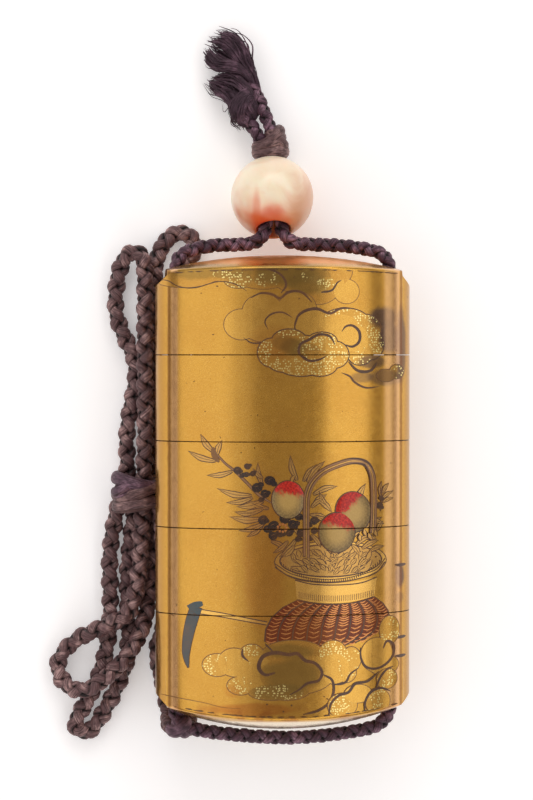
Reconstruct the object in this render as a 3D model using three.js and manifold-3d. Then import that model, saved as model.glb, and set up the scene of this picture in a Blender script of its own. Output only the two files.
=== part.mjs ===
// Inro case lying on its back: a lid and four cases of gold lacquer stacked along Y, each with
// a thin riser that the piece above slides over, a silk cord that runs through a channel down
// each side, a coral bead that draws the cord tight, and the slack of the cord folded and tied.
// Millimetres. X is across the case, Y runs from its foot to the bead, Z is up through its front.
import * as THREE from "three";
import { mergeVertices } from "three/addons/utils/BufferGeometryUtils.js";
import Module from "manifold-3d";

const wasm = await Module();
wasm.setup();

// Case, outside
const CASE_HALF_WIDTH = 23.6;
const CASE_HALF_DEPTH = 12.1;
const LID_HEIGHT = 18.4; // seam to the crown of the lid
const CASE_HEIGHT = 15.75; // seam to seam
const MIDDLE_CASES = 3;
const BASE_HEIGHT = 21.85; // foot to the lowest seam
const SEAM_GAP = 0.1;
const FLAT_WIDTH = 8; // flat spot along the back
const RUNNER_WIDTH = 2.6; // rounded cord runner along each side, out to the valley beside the face
const CREASE_WIDTH = 1.3;
const CREASE_DEPTH = 0.35;

// Crowned ends: each is part of an ellipsoid with this height, and falls back this far
// from its middle to its rim at the sides and at the face
const CROWN = { height: 20, sideFall: 3.1, faceFall: 2.45 };
const FOOT = { height: 22, sideFall: 5.0, faceFall: 3.0 };

// Corners cut at 45 degrees where the cord runners end
const CORNER_WIDTH = 2.0;
const LID_CORNER_DROP = 3.8; // below the crown of the lid
const FOOT_CORNER_RISE = 4.7; // above the foot

// Walls and fits
const SKIRT = 1.1; // outer wall beside a riser
const RISER_WALL = 0.9;
const RISER_HEIGHT = 3.5;
const FIT = 0.3; // between a riser and the piece above
const FLOOR = 1.2;
const END_WALL = 1.7;
const CHANNEL_WEB = 1.0; // between a cord channel and the hollow
const OVAL_POWER = 2.6; // fullness of the hollow's rounded outline

// Cord channels
const CHANNEL_INSET = 3.7; // from the side of the case to a channel's middle
const CHANNEL_RADIUS = 1.8;

// Bead
const BEAD_RADIUS = 7.7;
const BEAD_BORE_RADIUS = 3.1;
const BEAD_X = -1.6;
const BEAD_Y = 54.7;
const BEAD_TILT = -27; // degrees about X: its lower hole faces up

// Cord
const TAUT_DIAMETER = 2.7;
const SLACK_DIAMETER = 3.3;
const CORD_SIDES = 8;

// Tie round the folded slack
const TIE_X = -26.8;
const TIE_Y = -0.4;
const TIE_RADIUS = 4.95;
const TIE_HALF_LENGTH = 3.6;

// Knots: centre and half sizes
const TOP_KNOT = { at: [-1.7, 65.5, 3.5], half: [3.6, 3.1, 3.3] };
const SIDE_KNOT = { at: [-19.2, -43.5, 11.9], half: [2.7, 2.3, 2.8] };

// Frayed ends
const FRAY_THICKNESS = 5.0;
const FRAY_ROUND = 1.5;
const FRAY_LIFT = 0.3;

// Facets
const FACE_STEPS = 11; // of a quarter of the face
const RUNNER_STEPS = 5; // of a quarter round the cord runner
const OVAL_STEPS = 44;
const CROWN_STEPS = 7;
const CROWN_SIDES = 40;
const CHANNEL_SIDES = 16;

const CREASE_X = CASE_HALF_WIDTH - RUNNER_WIDTH;
const CORNER_X = CASE_HALF_WIDTH - CORNER_WIDTH;
const CHANNEL_X = CASE_HALF_WIDTH - CHANNEL_INSET;
const LENGTH = LID_HEIGHT + MIDDLE_CASES * CASE_HEIGHT + BASE_HEIGHT;
const CROWN_Y = LENGTH / 2;
const FOOT_Y = -LENGTH / 2;
const FLAT_DEPTH =
  CASE_HALF_DEPTH * (1 - Math.sqrt(1 - (FLAT_WIDTH / 2 / CASE_HALF_WIDTH) ** 2));
const MIDDLE_Z = CASE_HALF_DEPTH - FLAT_DEPTH;
const BEYOND = 5; // how far a cutting solid reaches past what it cuts
const CROWN_MARGIN = 1.1; // how much wider than the case a crowned end is turned

// Half sizes of the nested outlines: hollow, riser and the recess that takes a riser
const recessHalf = {
  x: CHANNEL_X - CHANNEL_RADIUS - CHANNEL_WEB,
  z: CASE_HALF_DEPTH - SKIRT,
};
const riserHalf = { x: recessHalf.x - FIT, z: recessHalf.z - FIT };
const hollowHalf = { x: riserHalf.x - RISER_WALL, z: riserHalf.z - RISER_WALL };

// Routes of the cord, [x, y, z] chosen by hand along its centre line
const LEFT_ROUTE = [
  [-3.1, 61.8, 4.1], [-3.1, 51.6, 9.3], [-3.3, 48.1, 10.9], [-4.9, 46.3, 10.9], [-8, 45.8, 9.6],
  [-12, 45.7, 9.1], [-15.6, 45.1, 10.1], [-18.4, 44, 11.4], [-19.75, 42.2, 11.93],
  [-19.9, 38.5, 11.93], [-19.9, -37, 11.93], [-19.8, -40.8, 11.93],
];
const RIGHT_ROUTE = [
  [-0.1, 61.8, 4.1], [-0.1, 51.6, 9.3], [0.1, 48.1, 10.9], [1.7, 46.3, 10.9], [5, 45.9, 9.6],
  [9.6, 45.8, 8.9], [14.2, 45.3, 9.6], [18.4, 44.1, 11.4], [19.75, 42.2, 11.93],
  [19.9, 38.5, 11.93], [19.9, -38.6, 11.93], [19.7, -41.3, 11.9], [17.9, -43.4, 11.9],
  [14, -44.5, 11.9], [2, -45.65, 11.9], [-11, -44.75, 11.9], [-16.1, -43.9, 11.9],
];
const TOP_LEAD_ROUTE = [
  [-17.2, -44, 8.5], [-16.9, -44.2, 5.2], [-17, -42.6, 2.7], [-17.7, -39.6, 1.85],
  [-17.7, -33.5, 1.75], [-17.8, 37.6, 1.75], [-17.1, 42.2, 1.75], [-15.9, 44.8, 1.75],
  [-16, 47, 1.75], [-17.7, 48.3, 1.75], [-19.8, 48, 1.75], [-21.7, 46, 1.75], [-23, 42.6, 1.75],
  [-23.2, 35, 1.75], [-23.4, 20, 1.75], [-23.8, 3.5, 1.8],
];
const UPPER_LOOP_ROUTE = [
  [-25.4, 3.5, 5.1], [-25.2, 15.6, 5.1], [-25.3, 30, 4.9], [-25.2, 38.6, 4.6], [-25.4, 42.3, 4.3],
  [-26.3, 44.3, 3.7], [-28.3, 44.2, 2.9], [-29.8, 41.4, 2.2], [-30.5, 37.2, 1.75],
  [-30.4, 32.8, 1.75], [-28.9, 28.6, 1.75], [-27.2, 24.8, 1.75], [-26.9, 20.6, 1.75],
  [-28.1, 14, 1.75], [-28.6, 9.7, 1.75], [-28.5, 3.5, 1.8],
];
const RING_ROUTE = [
  [-25.7, -4.3, 5.1], [-26.8, -18, 5.1], [-28.4, -22.9, 5.25], [-31.2, -24.7, 5.25],
  [-34.4, -26.1, 4.6], [-37.8, -28, 2.4], [-40.6, -30.7, 1.75], [-41.5, -33.3, 1.75],
  [-40.6, -35.8, 2], [-38.5, -37.3, 3.6], [-36, -37.1, 5], [-33.3, -35.4, 5.25],
  [-30.6, -33.1, 5.3], [-28.1, -30.3, 5.25], [-26.3, -27.2, 4.9], [-25.2, -24, 3.5],
  [-24.4, -20, 2], [-24.1, -11, 1.75], [-23.7, -4.3, 1.8],
];
const LOWER_LOOP_ROUTE = [
  [-30.5, -4.3, 1.8], [-31.7, -12, 1.75], [-31.8, -26, 1.75], [-33.5, -34, 1.75],
  [-35.9, -39.6, 1.75], [-38, -43.1, 1.75], [-38, -44.9, 1.75], [-36.4, -45.65, 1.75],
  [-34.9, -44.7, 1.75], [-32.6, -41.2, 1.75], [-29.9, -36, 1.75], [-28.5, -31.4, 1.75],
  [-28.3, -14, 1.75], [-27.1, -4.3, 1.8],
];
const SIDE_LEAD_ROUTE = [
  [-22.3, -4.3, 5.1], [-21.9, -11, 4.9], [-21.2, -19.5, 3.9], [-21.4, -24.8, 2.9],
  [-22.8, -29.4, 1.9], [-22.7, -32.5, 1.75], [-21.9, -36, 1.75], [-21.3, -39.2, 1.9],
  [-20.8, -42.1, 3.2], [-20.8, -43.3, 8.4],
];

// Outlines of the two frayed ends, seen from above
const UPPER_FRAY = [
  [0.1, 69.0], [-0.9, 71.7], [-2.2, 74.3], [-3.4, 77.2], [-5.4, 83.6],
  [-7.0, 85.9], [-9.8, 86.8], [-12.6, 86.0], [-13.9, 82.6], [-12.6, 79.2], [-6.8, 78.2],
  [-5.3, 76.0], [-4.0, 73.2], [-3.2, 70.9], [-2.7, 69.2],
];
const LOWER_FRAY = [
  [-3.1, 69.3], [-3.7, 71.1], [-4.5, 73.5], [-5.8, 76.2], [-7.3, 77.6],
  [-12.2, 77.7], [-13.8, 76.5], [-12.6, 74.8], [-9.1, 70.9], [-7.8, 68.8],
  [-5.7, 67.8],
];

function solidOf(geometry) {
  const bare = geometry.clone();
  bare.deleteAttribute("normal");
  bare.deleteAttribute("uv");
  const merged = mergeVertices(bare, 1e-4);
  return new wasm.Manifold(
    new wasm.Mesh({
      numProp: 3,
      vertProperties: merged.attributes.position.array,
      triVerts: new Uint32Array(merged.index.array),
    }),
  );
}

function geometryOf(solid) {
  const mesh = solid.getMesh();
  const geometry = new THREE.BufferGeometry();
  geometry.setAttribute("position", new THREE.BufferAttribute(mesh.vertProperties, 3));
  geometry.setIndex(new THREE.BufferAttribute(mesh.triVerts, 1));
  geometry.computeVertexNormals();
  return geometry;
}

// Solid with an outline of [x, z] points, between two places along Y
function along(outline, low, high) {
  const shape = new THREE.Shape(outline.map(([x, z]) => new THREE.Vector2(x, -z)));
  const geometry = new THREE.ExtrudeGeometry(shape, {
    depth: high - low,
    bevelEnabled: false,
  });
  geometry.rotateX(-Math.PI / 2);
  geometry.translate(0, low, MIDDLE_Z);
  return solidOf(geometry);
}

// Outline of the case: an ellipse with a shallow valley on each side of both cord runners
function caseOutline() {
  const valley = Math.acos(CREASE_X / CASE_HALF_WIDTH);
  const runnerEnd = Math.acos((CREASE_X + CREASE_WIDTH / 2) / CASE_HALF_WIDTH);
  const faceStart = Math.acos((CREASE_X - CREASE_WIDTH / 2) / CASE_HALF_WIDTH);
  const quarter = [];
  for (let i = 0; i <= RUNNER_STEPS; i += 1) {
    quarter.push([(runnerEnd * i) / RUNNER_STEPS, 0]);
  }
  quarter.push([valley, CREASE_DEPTH]);
  for (let i = 0; i <= FACE_STEPS; i += 1) {
    quarter.push([faceStart + ((Math.PI / 2 - faceStart) * i) / FACE_STEPS, 0]);
  }
  const upper = [...quarter, ...quarter.slice(0, -1).reverse().map(([a, d]) => [Math.PI - a, d])];
  const around = [...upper, ...upper.slice(1, -1).reverse().map(([a, d]) => [-a, d])];
  return around.map(([angle, depth]) => [
    (CASE_HALF_WIDTH - depth) * Math.cos(angle),
    (CASE_HALF_DEPTH - depth) * Math.sin(angle),
  ]);
}

// Rounded outline of a hollow, fuller than an ellipse
function ovalOutline(half) {
  const points = [];
  for (let i = 0; i < OVAL_STEPS; i += 1) {
    const angle = (2 * Math.PI * i) / OVAL_STEPS;
    const across = Math.cos(angle);
    const up = Math.sin(angle);
    points.push([
      half.x * Math.sign(across) * Math.abs(across) ** (2 / OVAL_POWER),
      half.z * Math.sign(up) * Math.abs(up) ** (2 / OVAL_POWER),
    ]);
  }
  return points;
}

// Angle at which an ellipsoid of this height has fallen by this much
function fallAngle(height, fall) {
  return Math.acos(1 - fall / height);
}

// Everything inside a crowned end whose middle is at y = middle; side is 1 for the lid, -1 for the foot
function crownedEnd(end, middle, side) {
  const axisX = CASE_HALF_WIDTH / Math.sin(fallAngle(end.height, end.sideFall));
  const axisZ = CASE_HALF_DEPTH / Math.sin(fallAngle(end.height, end.faceFall));
  const spread = CROWN_MARGIN * fallAngle(end.height, end.sideFall);
  const profile = [
    new THREE.Vector2(0, -LENGTH),
    new THREE.Vector2(Math.sin(spread), -LENGTH),
  ];
  for (let i = CROWN_STEPS; i > 0; i -= 1) {
    const turn = (spread * i) / CROWN_STEPS;
    profile.push(new THREE.Vector2(Math.sin(turn), -end.height * (1 - Math.cos(turn))));
  }
  profile.push(new THREE.Vector2(0, 0));
  const geometry = new THREE.LatheGeometry(profile, CROWN_SIDES);
  geometry.scale(axisX, 1, axisZ);
  if (side < 0) {
    geometry.rotateX(Math.PI);
  }
  geometry.translate(0, middle, MIDDLE_Z);
  return solidOf(geometry);
}

// Everything inside the two cut corners of one end, from front to back
function cornerCut(corner, side) {
  const wide = CASE_HALF_WIDTH + BEYOND;
  const shape = new THREE.Shape();
  shape.moveTo(-wide, corner - side * LENGTH);
  shape.lineTo(wide, corner - side * LENGTH);
  shape.lineTo(wide, corner - side * (wide - CORNER_X));
  shape.lineTo(CORNER_X, corner);
  shape.lineTo(CORNER_X, corner + side * BEYOND);
  shape.lineTo(-CORNER_X, corner + side * BEYOND);
  shape.lineTo(-CORNER_X, corner);
  shape.lineTo(-wide, corner - side * (wide - CORNER_X));
  const geometry = new THREE.ExtrudeGeometry(shape, {
    depth: 2 * (CASE_HALF_DEPTH + BEYOND),
    bevelEnabled: false,
  });
  geometry.translate(0, 0, MIDDLE_Z - CASE_HALF_DEPTH - BEYOND);
  return solidOf(geometry);
}

function cordChannel(x) {
  const geometry = new THREE.CylinderGeometry(
    CHANNEL_RADIUS,
    CHANNEL_RADIUS,
    LENGTH + 2 * BEYOND,
    CHANNEL_SIDES,
  );
  geometry.translate(x, 0, MIDDLE_Z);
  return solidOf(geometry);
}

// What lies below the back, which the flat spot cuts away
function underBack() {
  const geometry = new THREE.BoxGeometry(
    2 * (CASE_HALF_WIDTH + BEYOND),
    LENGTH + 2 * BEYOND,
    BEYOND,
  );
  geometry.translate(0, 0, -BEYOND / 2);
  return solidOf(geometry);
}

const section = caseOutline();
const recess = ovalOutline(recessHalf);
const riser = ovalOutline(riserHalf);
const hollow = ovalOutline(hollowHalf);
const cutAway = cordChannel(-CHANNEL_X).add(cordChannel(CHANNEL_X)).add(underBack());

function riserOn(seam) {
  return along(riser, seam - RISER_HEIGHT, seam + RISER_HEIGHT);
}

function recessOver(seam) {
  return along(recess, seam - BEYOND, seam + RISER_HEIGHT + FIT);
}

function lidSolid(seam) {
  const outside = along(section, seam + SEAM_GAP / 2, CROWN_Y)
    .intersect(crownedEnd(CROWN, CROWN_Y, 1))
    .intersect(cornerCut(CROWN_Y - LID_CORNER_DROP, 1));
  const inside = along(hollow, seam, CROWN_Y).intersect(
    crownedEnd(CROWN, CROWN_Y - END_WALL, 1),
  );
  return outside.subtract(inside).subtract(recessOver(seam)).subtract(cutAway);
}

function caseSolid(low, high) {
  const floor = low + RISER_HEIGHT + FIT + FLOOR;
  return along(section, low + SEAM_GAP / 2, high - SEAM_GAP / 2)
    .add(riserOn(high))
    .subtract(along(hollow, floor, high + BEYOND))
    .subtract(recessOver(low))
    .subtract(cutAway);
}

function baseSolid(seam) {
  const outside = along(section, FOOT_Y, seam - SEAM_GAP / 2)
    .intersect(crownedEnd(FOOT, FOOT_Y, -1))
    .intersect(cornerCut(FOOT_Y + FOOT_CORNER_RISE, -1));
  const inside = along(hollow, FOOT_Y, seam + BEYOND).intersect(
    crownedEnd(FOOT, FOOT_Y + END_WALL, -1),
  );
  return outside.add(riserOn(seam)).subtract(inside).subtract(cutAway);
}

// Curve through the points of a route, with one step of the tube at each point
class CordRoute extends THREE.CatmullRomCurve3 {
  getPointAt(share, target) {
    return this.getPoint(share, target);
  }

  getTangentAt(share, target) {
    return this.getTangent(share, target);
  }
}

function cordGeometry(route, diameter) {
  const points = route.map(([x, y, z]) => new THREE.Vector3(x, y, z));
  const ring = new THREE.Shape();
  ring.absarc(0, 0, diameter / 2, 0, 2 * Math.PI);
  return new THREE.ExtrudeGeometry(new THREE.Shape(ring.getPoints(CORD_SIDES / 2)), {
    steps: route.length - 1,
    extrudePath: new CordRoute(points, false, "centripetal"),
  });
}

function beadGeometry() {
  const holeAngle = Math.asin(BEAD_BORE_RADIUS / BEAD_RADIUS);
  const steps = 11;
  const sides = 30;
  const profile = [];
  for (let i = 0; i <= steps; i += 1) {
    const angle = -Math.PI / 2 + holeAngle + ((Math.PI - 2 * holeAngle) * i) / steps;
    profile.push(
      new THREE.Vector2(BEAD_RADIUS * Math.cos(angle), BEAD_RADIUS * Math.sin(angle)),
    );
  }
  profile.push(profile[0].clone());
  return new THREE.LatheGeometry(profile, sides);
}

function knotGeometry(half) {
  const geometry = new THREE.SphereGeometry(1, 16, 10);
  geometry.scale(...half);
  return geometry;
}

// Barrel round the folded cord, its axis along Y
function tieGeometry() {
  const shoulder = 0.82;
  const profile = [
    new THREE.Vector2(0, -TIE_HALF_LENGTH),
    new THREE.Vector2(TIE_RADIUS * shoulder, -TIE_HALF_LENGTH),
    new THREE.Vector2(TIE_RADIUS, -TIE_HALF_LENGTH / 2),
    new THREE.Vector2(TIE_RADIUS, TIE_HALF_LENGTH / 2),
    new THREE.Vector2(TIE_RADIUS * shoulder, TIE_HALF_LENGTH),
    new THREE.Vector2(0, TIE_HALF_LENGTH),
  ];
  return new THREE.LatheGeometry(profile, 20);
}

function frayGeometry(outline) {
  const curve = new THREE.SplineCurve(
    [...outline, outline[0]].map(([x, y]) => new THREE.Vector2(x, y)),
  );
  const shape = new THREE.Shape(curve.getPoints(2 * outline.length).slice(0, -1));
  return new THREE.ExtrudeGeometry(shape, {
    depth: FRAY_THICKNESS - 2 * FRAY_ROUND,
    bevelThickness: FRAY_ROUND,
    bevelSize: FRAY_ROUND / 2,
    bevelOffset: -FRAY_ROUND / 2,
    bevelSegments: 2,
  });
}

const lacquer = { color: 0xc8963a, roughness: 0.32, metalness: 0.65 };
const coral = { color: 0xf0cfae, roughness: 0.45, metalness: 0 };
const silk = { color: 0x5b4247, roughness: 0.85, metalness: 0 };

const group = new THREE.Group();

function addPiece(name, geometry, finish) {
  const piece = new THREE.Mesh(geometry, new THREE.MeshStandardMaterial(finish));
  piece.name = name;
  group.add(piece);
  return piece;
}

const topSeam = CROWN_Y - LID_HEIGHT;
addPiece("lid", geometryOf(lidSolid(topSeam)), lacquer);
for (let i = 0; i < MIDDLE_CASES; i += 1) {
  const high = topSeam - i * CASE_HEIGHT;
  addPiece(`case_${i + 1}`, geometryOf(caseSolid(high - CASE_HEIGHT, high)), lacquer);
}
const baseSeam = FOOT_Y + BASE_HEIGHT;
addPiece(`case_${MIDDLE_CASES + 1}`, geometryOf(baseSolid(baseSeam)), lacquer);

const bead = addPiece("bead", beadGeometry(), coral);
bead.position.set(BEAD_X, BEAD_Y, BEAD_RADIUS);
bead.rotation.x = THREE.MathUtils.degToRad(BEAD_TILT);

addPiece("cord_left", cordGeometry(LEFT_ROUTE, TAUT_DIAMETER), silk);
addPiece("cord_right", cordGeometry(RIGHT_ROUTE, TAUT_DIAMETER), silk);
addPiece("cord_top_lead", cordGeometry(TOP_LEAD_ROUTE, SLACK_DIAMETER), silk);
addPiece("cord_upper_loop", cordGeometry(UPPER_LOOP_ROUTE, SLACK_DIAMETER), silk);
addPiece("cord_ring", cordGeometry(RING_ROUTE, SLACK_DIAMETER), silk);
addPiece("cord_lower_loop", cordGeometry(LOWER_LOOP_ROUTE, SLACK_DIAMETER), silk);
addPiece("cord_side_lead", cordGeometry(SIDE_LEAD_ROUTE, SLACK_DIAMETER), silk);

for (const [name, knot] of [["knot_top", TOP_KNOT], ["knot_side", SIDE_KNOT]]) {
  addPiece(name, knotGeometry(knot.half), silk).position.set(...knot.at);
}

addPiece("tie", tieGeometry(), silk).position.set(TIE_X, TIE_Y, TIE_RADIUS);

const frayZ = FRAY_LIFT + FRAY_ROUND;
addPiece("frayed_end_upper", frayGeometry(UPPER_FRAY), silk).position.z = frayZ;
addPiece("frayed_end_lower", frayGeometry(LOWER_FRAY), silk).position.z = frayZ;

export default group;
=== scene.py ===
"""Inro case of gold lacquer lying on its back, with its silk cord, coral bead and tied slack."""
import math
import random

import bmesh
import bpy
import numpy as np
from mathutils import Matrix, Vector, noise


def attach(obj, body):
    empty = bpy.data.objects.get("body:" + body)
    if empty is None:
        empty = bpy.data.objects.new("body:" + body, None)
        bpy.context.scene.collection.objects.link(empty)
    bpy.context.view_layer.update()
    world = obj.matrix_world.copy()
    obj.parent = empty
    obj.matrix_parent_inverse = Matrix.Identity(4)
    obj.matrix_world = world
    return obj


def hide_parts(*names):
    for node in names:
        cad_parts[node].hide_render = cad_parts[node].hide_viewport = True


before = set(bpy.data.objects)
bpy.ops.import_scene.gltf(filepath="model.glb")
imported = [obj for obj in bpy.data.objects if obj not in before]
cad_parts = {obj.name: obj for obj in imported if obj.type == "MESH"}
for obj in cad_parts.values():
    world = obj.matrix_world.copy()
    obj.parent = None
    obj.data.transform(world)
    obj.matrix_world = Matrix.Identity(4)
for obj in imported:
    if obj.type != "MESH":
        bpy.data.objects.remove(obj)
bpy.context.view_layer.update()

MM = 0.001
ROOT = "root"

# Sizes of the case, in millimetres
HALF_WIDTH = 23.6
HALF_DEPTH = 12.1
LENGTH = 87.5
LID_HEIGHT = 18.4
CASE_HEIGHT = 15.75
MIDDLE_CASES = 3
SEAM_GAP = 0.1
FLAT_WIDTH = 8.0
CREASE_X = 21.0
CREASE_DEPTH = 0.018
CREASE_SPREAD = 0.4
CROWN = {"height": 20.0, "side_fall": 3.1, "face_fall": 2.45}
FOOT = {"height": 22.0, "side_fall": 5.0, "face_fall": 3.0}
CORNER_X = 21.6
LID_CORNER_DROP = 3.8
FOOT_CORNER_RISE = 4.7
SKIRT = 1.1
RISER_WALL = 0.9
RISER_HEIGHT = 3.5
FIT = 0.3
FLOOR = 1.2
END_WALL = 1.7
CHANNEL_WEB = 1.0
OVAL_POWER = 2.6
CHANNEL_X = 19.9
CHANNEL_RADIUS = 1.8
EDGE = 0.045  # rounding of the edges at the seams
RIM_EDGE = 0.4  # rounding of the rims of the lid and the foot
RING_POINTS = 512

FLAT_DEPTH = HALF_DEPTH * (1 - math.sqrt(1 - (FLAT_WIDTH / 2 / HALF_WIDTH) ** 2))
MIDDLE_Z = HALF_DEPTH - FLAT_DEPTH
CROWN_Y = LENGTH / 2
FOOT_Y = -LENGTH / 2
TOP_SEAM = CROWN_Y - LID_HEIGHT
SEAMS = [TOP_SEAM - i * CASE_HEIGHT for i in range(MIDDLE_CASES + 1)]
RECESS = (CHANNEL_X - CHANNEL_RADIUS - CHANNEL_WEB, HALF_DEPTH - SKIRT)
RISER = (RECESS[0] - FIT, RECESS[1] - FIT)
HOLLOW = (RISER[0] - RISER_WALL, RISER[1] - RISER_WALL)

# Bead, in millimetres
BEAD_RADIUS = 7.7
BEAD_BORE = 3.1
BEAD_AT = (-1.6, 54.7, 7.7)
BEAD_TILT = math.radians(-27)

# Cord, in millimetres
TAUT_DIAMETER = 2.7
SLACK_DIAMETER = 3.3
LAY = 2.15  # diameters of cord in one full turn of a strand
BRAID_STEP = 0.29
STRAND_SIDES = 8
ABOVE_FLOOR = 0.02

# Camera: what it aims at, how far off it stands and how it leans off the vertical
AIM = Vector((-3.05, 17.0, 12.0)) * MM
CAMERA_DISTANCE = 490 * MM
LEAN_LEFT = math.radians(5.0)
LEAN_UP = math.radians(0.98)
LENS = 119.2

# Routes of the cord, as in the model, in millimetres
LEFT_ROUTE = [
    (-3.1, 61.8, 4.1), (-3.1, 51.6, 9.3), (-3.3, 48.1, 10.9), (-4.9, 46.3, 10.9), (-8, 45.8, 9.6),
    (-12, 45.7, 9.1), (-15.6, 45.1, 10.1), (-18.4, 44, 11.4), (-19.75, 42.2, 11.93),
    (-19.9, 38.5, 11.93), (-19.9, -37, 11.93), (-19.8, -40.8, 11.93),
]
RIGHT_ROUTE = [
    (-0.1, 61.8, 4.1), (-0.1, 51.6, 9.3), (0.1, 48.1, 10.9), (1.7, 46.3, 10.9), (5, 45.9, 9.6),
    (9.6, 45.8, 8.9), (14.2, 45.3, 9.6), (18.4, 44.1, 11.4), (19.75, 42.2, 11.93),
    (19.9, 38.5, 11.93), (19.9, -38.6, 11.93), (19.7, -41.3, 11.9), (17.9, -43.4, 11.9),
    (14, -44.5, 11.9), (2, -45.65, 11.9), (-11, -44.75, 11.9), (-16.1, -43.9, 11.9),
]
TOP_LEAD_ROUTE = [
    (-17.2, -44, 8.5), (-16.9, -44.2, 5.2), (-17, -42.6, 2.7), (-17.7, -39.6, 1.85),
    (-17.7, -33.5, 1.75), (-17.8, 37.6, 1.75), (-17.1, 42.2, 1.75), (-15.9, 44.8, 1.75),
    (-16, 47, 1.75), (-17.7, 48.3, 1.75), (-19.8, 48, 1.75), (-21.7, 46, 1.75), (-23, 42.6, 1.75),
    (-23.2, 35, 1.75), (-23.4, 20, 1.75), (-23.8, 3.5, 1.8),
]
UPPER_LOOP_ROUTE = [
    (-25.4, 3.5, 5.1), (-25.2, 15.6, 5.1), (-25.3, 30, 4.9), (-25.2, 38.6, 4.6), (-25.4, 42.3, 4.3),
    (-26.3, 44.3, 3.7), (-28.3, 44.2, 2.9), (-29.8, 41.4, 2.2), (-30.5, 37.2, 1.75),
    (-30.4, 32.8, 1.75), (-28.9, 28.6, 1.75), (-27.2, 24.8, 1.75), (-26.9, 20.6, 1.75),
    (-28.1, 14, 1.75), (-28.6, 9.7, 1.75), (-28.5, 3.5, 1.8),
]
RING_ROUTE = [
    (-25.7, -4.3, 5.1), (-26.8, -18, 5.1), (-28.4, -22.9, 5.25), (-31.2, -24.7, 5.25),
    (-34.4, -26.1, 4.6), (-37.8, -28, 2.4), (-40.6, -30.7, 1.75), (-41.5, -33.3, 1.75),
    (-40.6, -35.8, 2), (-38.5, -37.3, 3.6), (-36, -37.1, 5), (-33.3, -35.4, 5.25),
    (-30.6, -33.1, 5.3), (-28.1, -30.3, 5.25), (-26.3, -27.2, 4.9), (-25.2, -24, 3.5),
    (-24.4, -20, 2), (-24.1, -11, 1.75), (-23.7, -4.3, 1.8),
]
LOWER_LOOP_ROUTE = [
    (-30.5, -4.3, 1.8), (-31.7, -12, 1.75), (-31.8, -26, 1.75), (-33.5, -34, 1.75),
    (-35.9, -39.6, 1.75), (-38, -43.1, 1.75), (-38, -44.9, 1.75), (-36.4, -45.65, 1.75),
    (-34.9, -44.7, 1.75), (-32.6, -41.2, 1.75), (-29.9, -36, 1.75), (-28.5, -31.4, 1.75),
    (-28.3, -14, 1.75), (-27.1, -4.3, 1.8),
]
SIDE_LEAD_ROUTE = [
    (-22.3, -4.3, 5.1), (-21.9, -11, 4.9), (-21.2, -19.5, 3.9), (-21.4, -24.8, 2.9),
    (-22.8, -29.4, 1.9), (-22.7, -32.5, 1.75), (-21.9, -36, 1.75), (-21.3, -39.2, 1.9),
    (-20.8, -42.1, 3.2), (-20.8, -43.3, 8.4),
]
# What the solids hide: through the knots, inside the tie and into the frayed ends
LEFT_END = [
    (-6.6, 73.0, 2.6), (-6.2, 70.6, 2.8), (-5.2, 68.6, 3.1), (-4.0, 66.8, 3.3), (-3.1, 64.2, 3.3),
]
RIGHT_END = [
    (-5.6, 76.6, 3.2), (-4.4, 74.6, 3.5), (-3.2, 72.0, 3.8), (-2.2, 69.4, 3.9),
    (-1.2, 66.8, 3.8), (-0.3, 64.2, 3.8),
]
TIE_TURN = [(-26.7, -0.7, 2.6), (-24.6, 0.9, 3.6), (-22.8, -0.8, 4.7)]
TIE_AT = (-26.8, -0.4, 4.95)
KNOT_TOP_AT = (-1.7, 65.5, 3.5)
KNOT_SIDE_AT = (-19.2, -43.5, 11.9)


def make_camera():
    back = Vector((-math.tan(LEAN_LEFT), math.tan(LEAN_UP), 1)).normalized()
    right = Vector((0, 1, 0)).cross(back).normalized()
    up = back.cross(right)
    turn = Matrix((right, up, back)).transposed().to_4x4()
    data = bpy.data.cameras.new("studio_camera")
    data.lens = LENS
    camera = bpy.data.objects.new("studio_camera", data)
    camera.matrix_world = Matrix.Translation(AIM + back * CAMERA_DISTANCE) @ turn
    bpy.context.scene.collection.objects.link(camera)
    bpy.context.scene.camera = camera


def add_object(name, bm, material):
    """Make an object of a bmesh in millimetres, smooth, riding on the one body."""
    bmesh.ops.scale(bm, vec=(MM, MM, MM), verts=bm.verts)
    mesh = bpy.data.meshes.new(name)
    bm.to_mesh(mesh)
    bm.free()
    mesh.materials.append(material)
    mesh.shade_smooth()
    piece = bpy.data.objects.new(name, mesh)
    bpy.context.scene.collection.objects.link(piece)
    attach(piece, ROOT)
    return piece


# Shader helpers
def new_material(name):
    material = bpy.data.materials.new(name)
    material.use_nodes = True
    tree = material.node_tree
    tree.nodes.clear()
    output = tree.nodes.new("ShaderNodeOutputMaterial")
    shader = tree.nodes.new("ShaderNodeBsdfPrincipled")
    tree.links.new(shader.outputs[0], output.inputs["Surface"])
    return material, shader, Tree(tree)


def new_group(name, inputs, outputs):
    """A node group: short ways to fill it, what comes in and what goes out."""
    tree = bpy.data.node_groups.new(name, "ShaderNodeTree")
    for key, (kind, value) in inputs.items():
        socket = tree.interface.new_socket(key, in_out="INPUT", socket_type=f"NodeSocket{kind}")
        socket.default_value = value
    for key, kind in outputs.items():
        tree.interface.new_socket(key, in_out="OUTPUT", socket_type=f"NodeSocket{kind}")
    inside = tree.nodes.new("NodeGroupInput").outputs
    return Tree(tree), inside, tree.nodes.new("NodeGroupOutput").inputs


def set_plain(shader, values):
    """Set what is the same all over a surface on the shader's own sockets."""
    for key, value in values.items():
        shader.inputs[key].default_value = value


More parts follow.
